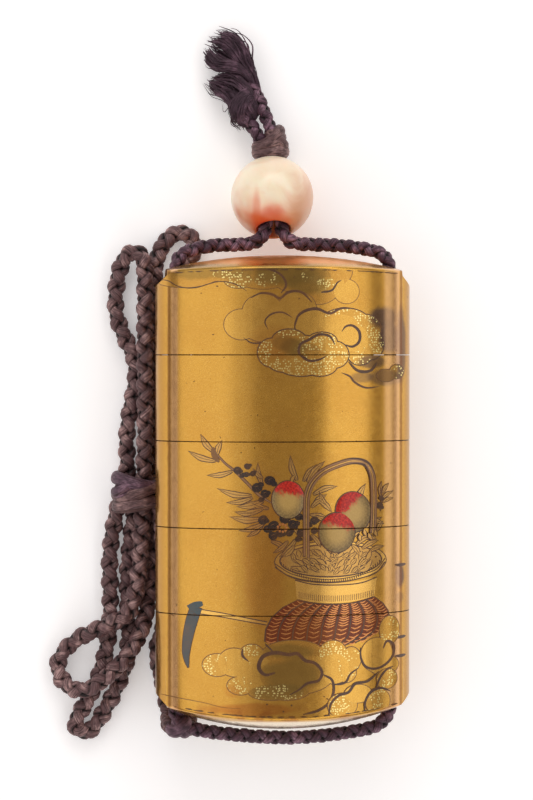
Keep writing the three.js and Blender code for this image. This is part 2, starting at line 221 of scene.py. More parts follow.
class Tree:
    """Short ways to add linked nodes to a node tree."""

    def __init__(self, tree):
        self.tree = tree

    def link(self, source, target):
        if isinstance(source, bpy.types.NodeSocket):
            self.tree.links.new(source, target)
        else:
            target.default_value = source

    def add(self, kind, inputs=(), **settings):
        node = self.tree.nodes.new(kind)
        for key, value in settings.items():
            setattr(node, key, value)
        for key, source in dict(inputs).items():
            self.link(source, node.inputs[key])
        return node

    def math(self, operation, a, b=0.0):
        return self.add("ShaderNodeMath", {0: a, 1: b}, operation=operation).outputs[0]

    def times(self, a, b):
        return self.math("MULTIPLY", a, b)

    def plus(self, a, b):
        return self.math("ADD", a, b)

    def minus(self, a, b):
        return self.math("SUBTRACT", a, b)

    def apart(self, a, b):
        """How far a value is from another, either way."""
        return self.math("ABSOLUTE", self.minus(a, b))

    def ramp(self, value, low, high, to_low=0.0, to_high=1.0):
        """A smooth step from low to high, or down again where low is the greater."""
        inputs = {"Value": value, "From Min": low, "From Max": high, "To Min": to_low, "To Max": to_high}
        node = self.add("ShaderNodeMapRange", inputs, interpolation_type="SMOOTHSTEP", clamp=True)
        return node.outputs["Result"]

    def mix(self, share, a, b):
        # Sockets 6 and 7 are the colours of a Mix node
        return self.add("ShaderNodeMix", {"Factor": share, 6: a, 7: b}, data_type="RGBA").outputs[2]

    def noise(self, vector, scale, detail=3.0, roughness=0.55, distortion=0.0):
        inputs = {"Vector": vector, "Scale": scale, "Detail": detail, "Roughness": roughness}
        node = self.add("ShaderNodeTexNoise", {**inputs, "Distortion": distortion})
        return node.outputs["Fac"]

    def mapping(self, vector, scale=(1, 1, 1), location=(0, 0, 0)):
        node = self.add("ShaderNodeMapping", {"Vector": vector, "Scale": scale, "Location": location})
        return node.outputs["Vector"]

    def coordinates(self, kind="Object"):
        return self.add("ShaderNodeTexCoord").outputs[kind]

    def parts(self, vector):
        return self.add("ShaderNodeSeparateXYZ", {0: vector}).outputs

    def bump(self, height, strength, distance):
        inputs = {"Height": height, "Strength": strength, "Distance": distance}
        return self.add("ShaderNodeBump", inputs).outputs["Normal"]


def rgb(red, green, blue):
    """Linear colour of an sRGB colour given from 0 to 255."""

    def linear(value):
        value /= 255
        return value / 12.92 if value <= 0.04045 else ((value + 0.055) / 1.055) ** 2.4

    return (linear(red), linear(green), linear(blue), 1.0)


def fibre_group():
    """Silk filaments that run along a strand, from its UV map: along and around."""
    t, inside, outside = new_group(
        "silk_filaments",
        {"Along": ("Float", 0.5), "Around": ("Float", 20.0)},
        {"Filament": "Float", "Wear": "Float", "Crevice": "Float"},
    )
    along, around, _ = t.parts(t.coordinates("UV"))
    cells = {"X": t.times(along, inside["Along"]), "Y": t.times(around, inside["Around"])}
    place = t.add("ShaderNodeCombineXYZ", cells).outputs[0]
    t.link(t.noise(place, 1.0, roughness=0.65, distortion=0.3), outside["Filament"])
    t.link(t.noise(t.coordinates(), 420.0), outside["Wear"])
    t.link(t.ramp(t.apart(around, 0.5), 0.13, 0.29), outside["Crevice"])
    return t.tree


FIBRES = fibre_group()
STRAND_SHADOW = rgb(16, 10, 11)


def silk_material(name, deep, middle, light, around=30.0, hollow=0.95):
    """Silk in three tones, with filaments round a strand and a shadow where it meets the next."""
    material, shader, t = new_material(name)
    fibres = t.add("ShaderNodeGroup", {"Along": 0.8, "Around": around}, node_tree=FIBRES).outputs
    filament = t.ramp(fibres["Filament"], 0.3, 0.72)
    worn = t.ramp(fibres["Wear"], 0.45, 0.68)
    colour = t.mix(filament, rgb(*deep), rgb(*middle))
    colour = t.mix(t.times(filament, worn), colour, rgb(*light))
    colour = t.mix(t.times(fibres["Crevice"], hollow), colour, STRAND_SHADOW)
    t.link(colour, shader.inputs["Base Color"])
    t.link(t.ramp(filament, 0.0, 1.0, 0.62, 0.4), shader.inputs["Roughness"])
    t.link(t.bump(filament, 0.35, 0.00012), shader.inputs["Normal"])
    set_plain(shader, {
        "Sheen Weight": 0.2,
        "Sheen Roughness": 0.4,
        "Sheen Tint": rgb(200, 170, 165),
        "Specular IOR Level": 0.4,
    })
    return material


SILK_BROWN = silk_material("silk_brown", (52, 33, 36), (126, 92, 92), (200, 162, 158))
SILK_PURPLE = silk_material("silk_purple", (34, 18, 30), (96, 60, 78), (178, 136, 156))
SILK_WRAP = silk_material("silk_wrap", (58, 38, 40), (118, 86, 86), (172, 138, 134), hollow=0.4)
SILK_KNOT = silk_material("silk_knot", (46, 28, 40), (98, 68, 84), (148, 114, 130), hollow=0.4)
SILK_FRAY = silk_material("silk_fray", (34, 17, 28), (88, 57, 76), (146, 108, 128), 12.0, 0.3)


# Cords
def smooth_route(points, step):
    """Points every step along a centripetal curve through the route's points."""
    points = np.array(points, float)
    padded = np.vstack([2 * points[0] - points[1], points, 2 * points[-1] - points[-2]])
    per_span = 24
    curve = []
    for i in range(1, len(padded) - 2):
        p0, p1, p2, p3 = padded[i - 1:i + 3]
        spans = ((p0, p1), (p1, p2), (p2, p3))
        d0, d1, d2 = (max(np.linalg.norm(b - a), 1e-4) ** 0.5 for a, b in spans)
        t1 = d1 * ((p1 - p0) / d0 - (p2 - p0) / (d0 + d1) + (p2 - p1) / d1)
        t2 = d1 * ((p2 - p1) / d1 - (p3 - p1) / (d1 + d2) + (p3 - p2) / d2)
        square = 3 * (p2 - p1) - 2 * t1 - t2
        cube = 2 * (p1 - p2) + t1 + t2
        for t in np.arange(per_span) / per_span:
            curve.append(p1 + t1 * t + square * t * t + cube * t ** 3)
    curve = np.array(curve + [points[-1]])
    run = np.concatenate([[0], np.cumsum(np.linalg.norm(np.diff(curve, axis=0), axis=1))])
    marks = np.linspace(0, run[-1], max(2, round(run[-1] / step) + 1))
    return np.stack([np.interp(marks, run, curve[:, k]) for k in range(3)], 1), marks


def unit(vectors):
    return vectors / np.maximum(np.linalg.norm(vectors, axis=-1, keepdims=True), 1e-12)


def turn_free_frames(centres):
    """Tangents and two normals that don't twist about the curve."""
    tangents = unit(np.gradient(centres, axis=0))
    normal = np.cross(tangents[0], (0.3, 0.2, 0.93))
    normals = []
    for tangent in tangents:
        normal = unit(normal - tangent * (normal @ tangent))
        normals.append(normal)
    normals = np.array(normals)
    return tangents, normals, np.cross(tangents, normals)


def skin(bm, centres, side_u, side_v, half_u, half_v, sides, run):
    """Wrap one grid round a curve as a tube of oval section and close its ends."""
    uv = bm.loops.layers.uv.verify()
    count = len(centres)
    made = bmesh.ops.create_grid(bm, x_segments=count - 1, y_segments=sides, size=1)["verts"]
    half_u = np.broadcast_to(half_u, count)
    half_v = np.broadcast_to(half_v, count)
    turn = 2 * np.pi * np.arange(sides + 1) / sides + np.pi
    ring = (
        centres[:, None]
        + (half_u[:, None] * np.cos(turn))[..., None] * side_u[:, None]
        + (half_v[:, None] * np.sin(turn))[..., None] * side_v[:, None]
    )
    ring[..., 2] = np.maximum(ring[..., 2], ABOVE_FLOOR)
    places = {}
    faces = set()
    for v in made:
        i = round((v.co.x + 1) / 2 * (count - 1))
        j = round((v.co.y + 1) / 2 * sides)
        places[v] = (i, j)
        faces.update(v.link_faces)
    for face in faces:
        for loop in face.loops:
            i, j = places[loop.vert]
            loop[uv].uv = (run[i], j / sides)
    for v, (i, j) in places.items():
        v.co = ring[i, j]
    seam = [v for v, (i, j) in places.items() if j in (0, sides)]
    bmesh.ops.remove_doubles(bm, verts=seam, dist=1e-5)


def finish_tubes(bm):
    bmesh.ops.holes_fill(bm, edges=[e for e in bm.edges if e.is_boundary], sides=0)
    bmesh.ops.recalc_face_normals(bm, faces=bm.faces)


# Share of the cord's diameter: a strand's middle circle, its weave in and out, and its half sizes
STRAND_CIRCLE = 0.205
STRAND_WEAVE = 0.105
STRAND_THICK = 0.2
STRAND_WIDE = 0.262
STRAND_PLUMP = 0.2
BRAID_TURN_START = 0.05


def braid(bm, route, diameter):
    """Four strands plaited round the route: two wind each way and pass over and under by turns."""
    centres, run = smooth_route(route, BRAID_STEP)
    tangents, normals, binormals = turn_free_frames(centres)
    rate = 2 * np.pi / (LAY * diameter)
    for strand in range(4):
        way = 1 if strand % 2 == 0 else -1
        start = (strand // 2) * np.pi + (0 if way > 0 else np.pi / 2)
        angle = way * rate * run + start + BRAID_TURN_START
        # A hand-plaited strand strays a little, here as two slow waves that never repeat together
        wobble = 0.012 * np.sin(run * 0.83 + strand * 1.7) + 0.01 * np.sin(run * 2.3 + strand * 2.9)
        over = way * np.cos(2 * (angle - BRAID_TURN_START - np.pi / 4))
        reach = diameter * (STRAND_CIRCLE + STRAND_WEAVE * over + wobble)
        outward = np.cos(angle)[:, None] * normals + np.sin(angle)[:, None] * binormals
        line = centres + reach[:, None] * outward
        along = unit(np.gradient(line, axis=0))
        side_u = unit(outward - along * np.sum(outward * along, 1, keepdims=True))
        side_v = np.cross(along, side_u)
        fat = diameter * (1 + STRAND_PLUMP * over + 0.05 * np.sin(run * 1.31 + strand * 2.1))
        halves = (STRAND_THICK * fat, STRAND_WIDE * fat)
        skin(bm, line, side_u, side_v, *halves, STRAND_SIDES, run + 7 * strand)
    return centres


def hank_route():
    """The whole slack, from the knot at the foot through the tie and back to the knot."""
    knot = KNOT_SIDE_AT
    start = (knot[0] + 0.9, knot[1] - 0.2, knot[2] - 0.6)
    finish = (knot[0] - 1.3, knot[1] + 0.1, knot[2] - 0.8)
    return (
        [start]
        + TOP_LEAD_ROUTE
        + RING_ROUTE[::-1]
        + UPPER_LOOP_ROUTE
        + LOWER_LOOP_ROUTE
        + TIE_TURN
        + SIDE_LEAD_ROUTE
        + [finish]
    )


def lock_group(bm, locks, rng):
    """Flat ribbons of filaments, each along its own curve and thinner towards its end."""
    for points, wide, thick in locks:
        centres, run = smooth_route(points, 0.5)
        tangents, normals, binormals = turn_free_frames(centres)
        share = run / run[-1]
        twist = rng.uniform(0, np.pi) + share * rng.uniform(-1.5, 1.5)
        side_u = np.cos(twist)[:, None] * normals + np.sin(twist)[:, None] * binormals
        side_v = np.cross(tangents, side_u)
        shape = np.clip(share * 5 + 0.35, 0, 1) * (1 - 0.75 * share ** 2.5)
        skin(bm, centres, side_u, side_v, thick * shape, wide * shape, 6, run + rng.uniform(0, 200))
    finish_tubes(bm)


def fray_locks(outer, inner, count, rng, wide=(0.2, 0.42), stray=0.32):
    """Locks between two border curves, each a little off its own line and cut at its own length."""
    outer = np.array(outer, float)
    inner = np.array(inner, float)
    locks = []
    for i in range(count):
        share = min(max((i + rng.uniform(-1.5, 1.5)) / (count - 1), 0), 1)
        path = outer + (inner - outer) * share
        lift = rng.uniform(-1.0, 1.0)
        off = np.zeros(3)
        for k in range(len(path)):
            off = off * 0.6 + np.array([rng.gauss(0, s) for s in (stray, stray, stray * 0.7)])
            raised = np.array([0, 0, lift * min(1, 0.5 + k * 0.3)])
            path[k] += off * (k / (len(path) - 1)) ** 0.7 + raised
        path[:, 2] = np.clip(path[:, 2], 0.6, 4.9)
        ends = path[-1] + (path[-2] - path[-1]) * rng.uniform(0.0, 0.75)
        points = [tuple(q) for q in path[:-1]] + [tuple(ends)]
        locks.append((points, rng.uniform(*wide), rng.uniform(0.13, 0.24)))
    return locks


# Tufts of the frayed ends, each between two border curves, and single stray filaments
UPPER_FRAY = (
    [(-3.2, 74.2, 3.4), (-4.4, 77.7, 3.8), (-5.6, 80.6, 4.0),
     (-6.4, 83.2, 3.8), (-8.0, 85.2, 3.2), (-10.6, 86.3, 2.2)],
    [(-5.0, 75.4, 3.2), (-6.6, 78.4, 3.6), (-8.2, 80.6, 3.6),
     (-10.0, 82.6, 3.2), (-11.6, 83.6, 2.6), (-13.2, 84.2, 1.8)],
)
UPPER_CURL = (
    [(-4.6, 75.8, 3.6), (-6.4, 79.0, 4.2), (-8.6, 80.4, 4.2),
     (-10.8, 80.6, 3.6), (-12.4, 81.4, 2.8), (-13.6, 83.2, 2.0)],
    [(-5.4, 75.8, 3.2), (-7.2, 77.9, 3.8), (-9.4, 78.5, 3.8),
     (-11.4, 78.7, 3.2), (-12.8, 79.6, 2.4), (-13.6, 81.2, 1.6)],
)
UPPER_BACK = (
    [(-3.8, 75.0, 2.2), (-5.0, 78.0, 1.6), (-6.2, 80.8, 1.4),
     (-7.4, 83.2, 1.2), (-9.4, 84.8, 1.0), (-11.6, 85.2, 0.9)],
    [(-5.2, 75.6, 2.2), (-6.8, 77.8, 1.6), (-8.8, 78.9, 1.4),
     (-10.8, 79.4, 1.2), (-12.2, 80.6, 1.0), (-13.0, 82.0, 0.9)],
)
LOWER_FRAY = (
    [(-5.3, 67.8, 2.6), (-7.2, 68.9, 3.2), (-8.7, 71.3, 3.4),
     (-10.3, 73.5, 3.0), (-12.0, 74.8, 2.4), (-13.5, 76.1, 1.6)],
    [(-3.6, 70.6, 3.4), (-4.5, 73.4, 4.0), (-5.9, 75.9, 4.2),
     (-7.6, 77.6, 3.8), (-9.6, 78.2, 3.0), (-12.2, 77.7, 2.0)],
)
LOWER_FLOP = (
    [(-4.6, 74.6, 4.0), (-6.4, 74.9, 4.8), (-8.2, 73.6, 4.7),
     (-8.8, 71.4, 4.2), (-8.4, 69.6, 3.2), (-7.4, 68.3, 2.4)],
    [(-4.2, 73.4, 4.0), (-5.2, 73.4, 4.8), (-6.2, 72.2, 4.7),
     (-6.6, 70.6, 4.2), (-6.4, 69.2, 3.2), (-5.8, 68.0, 2.4)],
)
LOWER_BACK = (
    [(-5.2, 68.6, 1.8), (-7.0, 69.8, 1.4), (-8.4, 71.8, 1.2),
     (-10.0, 74.0, 1.0), (-11.6, 75.2, 0.9), (-12.6, 76.0, 0.9)],
    [(-4.2, 71.0, 1.8), (-5.0, 73.4, 1.4), (-6.2, 75.4, 1.2),
     (-7.8, 76.9, 1.0), (-9.6, 77.4, 0.9), (-11.6, 77.2, 0.9)],
)
STRAYS = (
    [(-10.2, 81.5, 2.5), (-12.2, 81.4, 2.0), (-14.0, 83.0, 1.4)],
    [(-10.0, 75.0, 2.2), (-12.4, 74.2, 1.6), (-14.2, 76.4, 1.0)],
    [(-8.4, 73.4, 2.0), (-10.2, 71.0, 1.4), (-10.4, 72.6, 1.0)],
    [(-6.6, 70.6, 2.4), (-7.6, 68.0, 1.4), (-6.6, 67.8, 1.0)],
    [(-3.9, 75.6, 3.2), (-4.2, 78.8, 2.8), (-5.6, 82.0, 2.4)],
)


# Each frayed end: its tufts with the number of locks in each, and which of the strays it has
FRAYED_ENDS = (
    ("frayed_end_upper", ((UPPER_BACK, 40), (UPPER_FRAY, 62), (UPPER_CURL, 48)), (0, 4)),
    ("frayed_end_lower", ((LOWER_BACK, 34), (LOWER_FRAY, 66), (LOWER_FLOP, 34)), (1, 2, 3)),
)
HAIR_WIDTHS = (0.06, 0.1)
HAIR_STRAY = 0.5
STRAY_SIZE = 0.09


def make_frayed_ends():
    pieces = []
    rng = random.Random(11)
    for node, tufts, strays in FRAYED_ENDS:
        bm = bmesh.new()
        locks = []
        for (outer, inner), count in tufts:
            locks += fray_locks(outer, inner, count, rng)
            locks += fray_locks(outer, inner, count, rng, HAIR_WIDTHS, HAIR_STRAY)
        locks += [(STRAYS[k], STRAY_SIZE, STRAY_SIZE) for k in strays]
        lock_group(bm, locks, rng)
        pieces.append(add_object(f"{node}_silk", bm, SILK_FRAY))
        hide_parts(node)
    return pieces


BAND_STEPS = 56
BAND_SIDES = 12


def closed_band(bm, centre, axes, radii, half_sizes, wave, phase):
    """A ring of filaments wrapped round a core: a closed oval loop of oval section."""
    turn = 2 * np.pi * np.arange(BAND_STEPS + 1) / BAND_STEPS
    u, v, w = (unit(np.array(a, float)) for a in axes)
    lift = wave * np.sin(2 * turn + phase)
    line = (
        np.array(centre)
        + radii[0] * np.cos(turn)[:, None] * u
        + radii[1] * np.sin(turn)[:, None] * v
        + lift[:, None] * w
    )
    outward = unit(np.cos(turn)[:, None] / radii[0] * u + np.sin(turn)[:, None] / radii[1] * v)
    along = unit(np.gradient(line, axis=0))
    side_v = unit(np.cross(along, outward))
    run = np.concatenate([[0], np.cumsum(np.linalg.norm(np.diff(line, axis=0), axis=1))])
    skin(bm, line, outward, side_v, *half_sizes, BAND_SIDES, run)


def tilted(angle_z, angle_x):
    """Axes of a loop round the Y direction, turned about Z and then about X."""
    about_z = Matrix.Rotation(math.radians(angle_z), 3, "Z")
    turn = about_z @ Matrix.Rotation(math.radians(angle_x), 3, "X")
    return [tuple(turn @ Vector(a)) for a in ((1, 0, 0), (0, 0, 1), (0, 1, 0))]


# Wraps of each knot and of the tie: middle from the piece's own, turns about Z and X in degrees,
# radii of the loop, half sizes of its section, height and phase of its wave, and which silk
KNOT_TOP_WRAPS = (
    ((0.15, -2.1, -0.1), (2, 0), (2.65, 2.3), (0.95, 1.3), 0.1, 0.4, 0),
    ((-0.1, -0.3, 0), (24, 4), (2.5, 2.35), (1.0, 1.2), 0.12, 1.6, 0),
    ((0.2, 0.5, 0), (40, 6), (2.3, 2.35), (1.0, 1.15), 0.15, 1.1, 0),
    ((1.2, 0.1, -0.15), (-42, -8), (1.7, 2.1), (1.0, 1.15), 0.12, 2.0, 0),
)
KNOT_SIDE_WRAPS = (
    ((-0.1, 0.2, 0), (28, 10), (1.55, 1.6), (1.1, 1.3), 0.12, 0.5, 0),
    ((0.2, -0.1, 0), (-52, -6), (1.3, 1.45), (1.0, 1.15), 0.12, 1.4, 0),
)
TIE_WRAPS = (
    ((0, -2.15, 0), (9, -3), (3.8, 3.8), (0.95, 1.25), 0.15, 1.3, 0),
    ((0, 0.35, 0), (13, 3), (3.9, 3.85), (1.0, 1.2), 0.2, 0.3, 0),
    ((-0.15, 2.0, 0), (-12, 4), (3.85, 3.8), (0.95, 1.3), 0.15, 2.6, 1),
    ((-2.55, 0.75, 1.2), (34, 0), (1.55, 2.35), (0.9, 1.25), 0.1, 2.2, 1),
)


def make_wraps(node, at, wraps, silks):
    """A knot or a tie: bands of filaments wrapped round its middle and through one another."""
    bm = bmesh.new()
    for offset, turns, radii, half_sizes, wave, phase, silk in wraps:
        before = set(bm.faces)
        centre = [a + b for a, b in zip(at, offset)]
        closed_band(bm, centre, tilted(*turns), radii, half_sizes, wave, phase)
        for face in set(bm.faces) - before:
            face.material_index = silk
    bmesh.ops.remove_doubles(bm, verts=bm.verts, dist=1e-4)
    finish_tubes(bm)
    piece = add_object(f"{node}_silk", bm, silks[0])
    for silk in silks[1:]:
        piece.data.materials.append(silk)
    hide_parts(node)
    return piece


def make_cords():
    """The two taut runs and the slack, each braided along its route, and the knots, the tie, the frayed ends
    and the bead.
    """
    frays = make_frayed_ends()
    knot_top = make_wraps("knot_top", KNOT_TOP_AT, KNOT_TOP_WRAPS, [SILK_WRAP])
    knot_side = make_wraps("knot_side", KNOT_SIDE_AT, KNOT_SIDE_WRAPS, [SILK_KNOT])
    tie = make_wraps("tie", TIE_AT, TIE_WRAPS, [SILK_WRAP, SILK_KNOT])
    bead = make_bead()
    side_end = (KNOT_SIDE_AT[0], KNOT_SIDE_AT[1] + 0.6, KNOT_SIDE_AT[2])
    left = [side_end] + LEFT_ROUTE[::-1] + LEFT_END[::-1]
    right = [side_end] + RIGHT_ROUTE[::-1] + RIGHT_END[::-1]
    runs = (
        ("cord_left", left, [frays[1], knot_top, bead]),
        ("cord_right", right, [frays[0]]),
    )
    for node, route, others in runs:
        bm = bmesh.new()
        centres = braid(bm, route, TAUT_DIAMETER)
        finish_tubes(bm)
        piece = add_object(f"{node}_silk", bm, SILK_PURPLE)
        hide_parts(node)
    bm = bmesh.new()
    centres = braid(bm, hank_route(), SLACK_DIAMETER)
    finish_tubes(bm)
    piece = add_object("cord_slack_silk", bm, SILK_BROWN)
    slack = ("cord_top_lead", "cord_upper_loop", "cord_ring", "cord_lower_loop", "cord_side_lead")
    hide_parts(*slack)


# Bead
STREAK_STRETCH = (3.0, 0.6, 0.6)
# Orange patches: stretch, centre from the bead's middle in metres, radius, strength and tone
BEAD_PATCHES = (
    ((1, 1, 1), (-0.0022, -0.0072, 0.0034), 0.0078, 0.8, rgb(238, 134, 82)),
    ((1, 1, 1), (-0.0012, -0.0062, 0.0047), 0.0046, 0.92, rgb(222, 76, 30)),
    (STREAK_STRETCH, (-0.0103, -0.0014, 0.0038), 0.0025, 0.5, rgb(228, 112, 56)),
)


def coral_material():
    material, shader, t = new_material("coral")
    middle = tuple(-c * MM for c in BEAD_AT)
    place = t.mapping(t.coordinates(), location=middle)
    x, y, _ = t.parts(place)
    cloudy = t.noise(place, 190.0, detail=4.0, distortion=0.8)
    soft = t.noise(place, 150.0, detail=2.0)
    pale = t.mix(t.ramp(cloudy, 0.35, 0.7), rgb(255, 238, 210), rgb(252, 226, 194))
    side = t.plus(x, t.times(y, -0.55))
    side = t.plus(side, t.times(t.minus(cloudy, 0.5), 0.006))
    colour = t.mix(t.ramp(side, 0.0005, 0.0062), pale, rgb(228, 178, 140))
    for stretch, centre, radius, strength, tone in BEAD_PATCHES:
        patch = patch_mask(t, t.mapping(place, scale=stretch), centre, radius, soft)
        colour = t.mix(t.times(patch, strength), colour, tone)
    t.link(colour, shader.inputs["Base Color"])
    t.link(t.bump(t.noise(place, 900.0, detail=2.0), 0.08, 0.0001), shader.inputs["Normal"])
    set_plain(shader, {
        "Roughness": 0.36,
        "Subsurface Weight": 0.35,
        "Subsurface Radius": (1.0, 0.5, 0.3),
        "Subsurface Scale": 0.0022,
        "Coat Weight": 0.75,
        "Coat Roughness": 0.3,
    })
    return material


def patch_mask(t, place, centre, radius, ragged):
    """A soft round patch with a ragged edge, in metres."""
    away = t.add("ShaderNodeVectorMath", {0: place, 1: centre}, operation="DISTANCE").outputs["Value"]
    away = t.plus(away, t.times(t.minus(ragged, 0.5), radius * 1.8))
    return t.ramp(away, radius * 1.15, radius * 0.25)


def make_bead():
    """A ball with its bore and rounded lips, a little uneven, turned so that the cords enter it."""
    bm = bmesh.new()
    sides = 96
    steps = 40
    lip = 0.35
    uneven = 0.05
    low = math.asin((BEAD_BORE + lip) / BEAD_RADIUS)
    profile = []
    for i in range(steps + 1):
        angle = -math.pi / 2 + low + (math.pi - 2 * low) * i / steps
        profile.append((BEAD_RADIUS * math.cos(angle), BEAD_RADIUS * math.sin(angle)))
    end = BEAD_RADIUS * math.cos(low)
    profile += [(BEAD_BORE + lip * 0.35, end - lip * 0.12), (BEAD_BORE, end - lip * 0.8)]
    profile += [(BEAD_BORE, -end + lip * 0.8), (BEAD_BORE + lip * 0.35, -end + lip * 0.12)]
    verts = [bm.verts.new((r, y, 0)) for r, y in profile]
    edges = [bm.edges.new((a, b)) for a, b in zip(verts, verts[1:] + verts[:1])]
    bmesh.ops.spin(
        bm, geom=verts + edges, cent=(0, 0, 0), axis=(0, 1, 0),
        angle=2 * math.pi, steps=sides, use_merge=True,
    )
    bmesh.ops.remove_doubles(bm, verts=bm.verts, dist=1e-4)
    bmesh.ops.recalc_face_normals(bm, faces=bm.faces)
    for v in bm.verts:
        v.co += v.co.normalized() * uneven * noise.noise(v.co * 0.22)
    bmesh.ops.rotate(bm, cent=(0, 0, 0), matrix=Matrix.Rotation(BEAD_TILT, 3, "X"), verts=bm.verts)
    bmesh.ops.translate(bm, vec=BEAD_AT, verts=bm.verts)
    piece = add_object("bead_coral", bm, coral_material())
    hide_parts("bead")
    return piece


# Case
def valley(x):
    """Depth of the crease beside a cord runner, at a place across the case."""
    return CREASE_DEPTH * math.exp(-(((abs(x) - CREASE_X) / CREASE_SPREAD) ** 2))


def outward(x, z):
    """Direction straight out of the case's oval wall."""
    return Vector((x / HALF_WIDTH ** 2, z / HALF_DEPTH ** 2)).normalized()


def section(inset=0.0):
    """Outline of the case about its middle: an oval with a soft valley beside each cord runner."""
    points = []
    for i in range(RING_POINTS):
        angle = 2 * math.pi * i / RING_POINTS
        x = HALF_WIDTH * math.cos(angle)
        z = HALF_DEPTH * math.sin(angle)
        step = outward(x, z) * (valley(x) + inset)
        points.append((x - step.x, max(z - step.y, -MIDDLE_Z + inset)))
    return points


def oval(half, inset=0.0):
    points = []
    for i in range(RING_POINTS):
        angle = 2 * math.pi * i / RING_POINTS
        across = math.cos(angle)
        up = math.sin(angle)
        points.append((
            (half[0] - inset) * math.copysign(abs(across) ** (2 / OVAL_POWER), across),
            (half[1] - inset) * math.copysign(abs(up) ** (2 / OVAL_POWER), up),
        ))
    return points


def fall(end, x, z):
    """How far a crowned end falls back from its middle at a place across it."""
    wide = HALF_WIDTH / math.sin(math.acos(1 - end["side_fall"] / end["height"]))
    deep = HALF_DEPTH / math.sin(math.acos(1 - end["face_fall"] / end["height"]))
    return end["height"] * (1 - math.sqrt(max(0.0, 1 - (x / wide) ** 2 - (z / deep) ** 2)))


def flat_ring(outline, y):
    return [(x, y, z) for x, z in outline]


def crown_ring(outline, end, middle, side, back=0.0):
    """Ring on a crowned end, or set back from it."""
    return [(x, middle - side * (fall(end, x, z) + back), z) for x, z in outline]


def scaled(outline, share):
    return [(x * share, z * share) for x, z in outline]


def shell_of_rings(rings):
    """One closed body through rings of equal count; its first and last rings close to a point."""
    bm = bmesh.new()
    slot = bm.verts.layers.int.new("slot")
    verts = bmesh.ops.create_circle(bm, segments=RING_POINTS, radius=1)["verts"]
    for v in verts:
        v[slot] = round(math.atan2(v.co.y, v.co.x) / (2 * math.pi) * RING_POINTS) % RING_POINTS

    def place(some, ring):
        for v in some:
            x, y, z = ring[v[slot]]
            v.co = (x, y, z + MIDDLE_Z)

    place(verts, rings[0])
    edges = list(bm.edges)
    first = list(verts)
    for ring in rings[1:]:
        made = bmesh.ops.extrude_edge_only(bm, edges=edges)["geom"]
        verts = [g for g in made if isinstance(g, bmesh.types.BMVert)]
        new = set(verts)
        all_edges = [g for g in made if isinstance(g, bmesh.types.BMEdge)]
        edges = [e for e in all_edges if e.verts[0] in new and e.verts[1] in new]
        place(verts, ring)
    for ends in (first, verts):
        middle = sum((v.co for v in ends), Vector()) / len(ends)
        bmesh.ops.pointmerge(bm, verts=ends, merge_co=middle)
    bmesh.ops.recalc_face_normals(bm, faces=bm.faces)
    return bm


def cut_along(bm, place, normal, reach, **settings):
    """Cut every face along a plane."""
    geometry = list(bm.verts) + list(bm.edges) + list(bm.faces)
    bmesh.ops.bisect_plane(bm, geom=geometry, plane_co=place, plane_no=normal, dist=reach, **settings)


def cut_corners(bm, corner, side):
    """Cut the two corners of an end at 45 degrees, from front to back."""
    step = 0.06
    for sign in (-1, 1):
        for x in (CORNER_X, CORNER_X + step):
            cut_along(bm, (sign * x, 0, 0), (sign, 0, 0), 1e-5)
    for v in bm.verts:
        out = abs(v.co.x) - CORNER_X
        if out > step / 2:
            limit = corner - side * out
            if (v.co.y - limit) * side > 0:
                v.co.y = limit


# Rings between the middle of a crowned end and its rim, outside and inside
CROWN_SHARES = [0.985, 0.95, 0.88, 0.78, 0.66, 0.53, 0.4, 0.27, 0.14, 0.04]
INNER_SHARES = [0.04, 0.2, 0.4, 0.6, 0.8, 0.93, 1.0]


def inner_rings(end, middle, side):
    """From the middle of the hollow's crowned end to its wall."""
    outlines = [scaled(oval(HOLLOW), share) for share in INNER_SHARES]
    return [crown_ring(outline, end, middle, side, END_WALL) for outline in outlines]


def lid_shell(seam):
    rings = inner_rings(CROWN, CROWN_Y, 1)
    low = seam + SEAM_GAP / 2
    top = seam + RISER_HEIGHT + FIT
    rings += [flat_ring(oval(HOLLOW), top), flat_ring(oval(RECESS), top), flat_ring(oval(RECESS), low)]
    rings += [flat_ring(section(EDGE), low), flat_ring(section(), low + EDGE)]
    rings += rim_rings(CROWN, CROWN_Y, 1)
    bm = shell_of_rings(rings)
    cut_corners(bm, CROWN_Y - LID_CORNER_DROP, 1)
    return bm


def rim_rings(end, middle, side):
    """From the wall over the rounded rim to the middle of a crowned end."""
    rings = [crown_ring(section(), end, middle, side, RIM_EDGE)]
    rings += [crown_ring(section(RIM_EDGE * 0.12), end, middle, side, RIM_EDGE * 0.38)]
    rings += [crown_ring(section(RIM_EDGE * 0.45), end, middle, side, RIM_EDGE * 0.08)]
    rings += [crown_ring(section(RIM_EDGE), end, middle, side)]
    rings += [crown_ring(scaled(section(RIM_EDGE), s), end, middle, side) for s in CROWN_SHARES]
    return rings


def mouth_rings(seam):
    """From the hollow up over the riser and down to the outer edge under a seam."""
    top = seam + RISER_HEIGHT
    return [
        flat_ring(oval(HOLLOW), top - EDGE),
        flat_ring(oval(HOLLOW, -EDGE), top),
        flat_ring(oval(RISER, EDGE), top),
        flat_ring(oval(RISER), top - EDGE),
        flat_ring(oval(RISER), seam - SEAM_GAP / 2),
        flat_ring(section(EDGE), seam - SEAM_GAP / 2),
        flat_ring(section(), seam - SEAM_GAP / 2 - EDGE),
    ]


def floor_rings(outline, y, shares=(0.04, 0.5, 0.96)):
    return [flat_ring(scaled(outline, s), y) for s in shares]


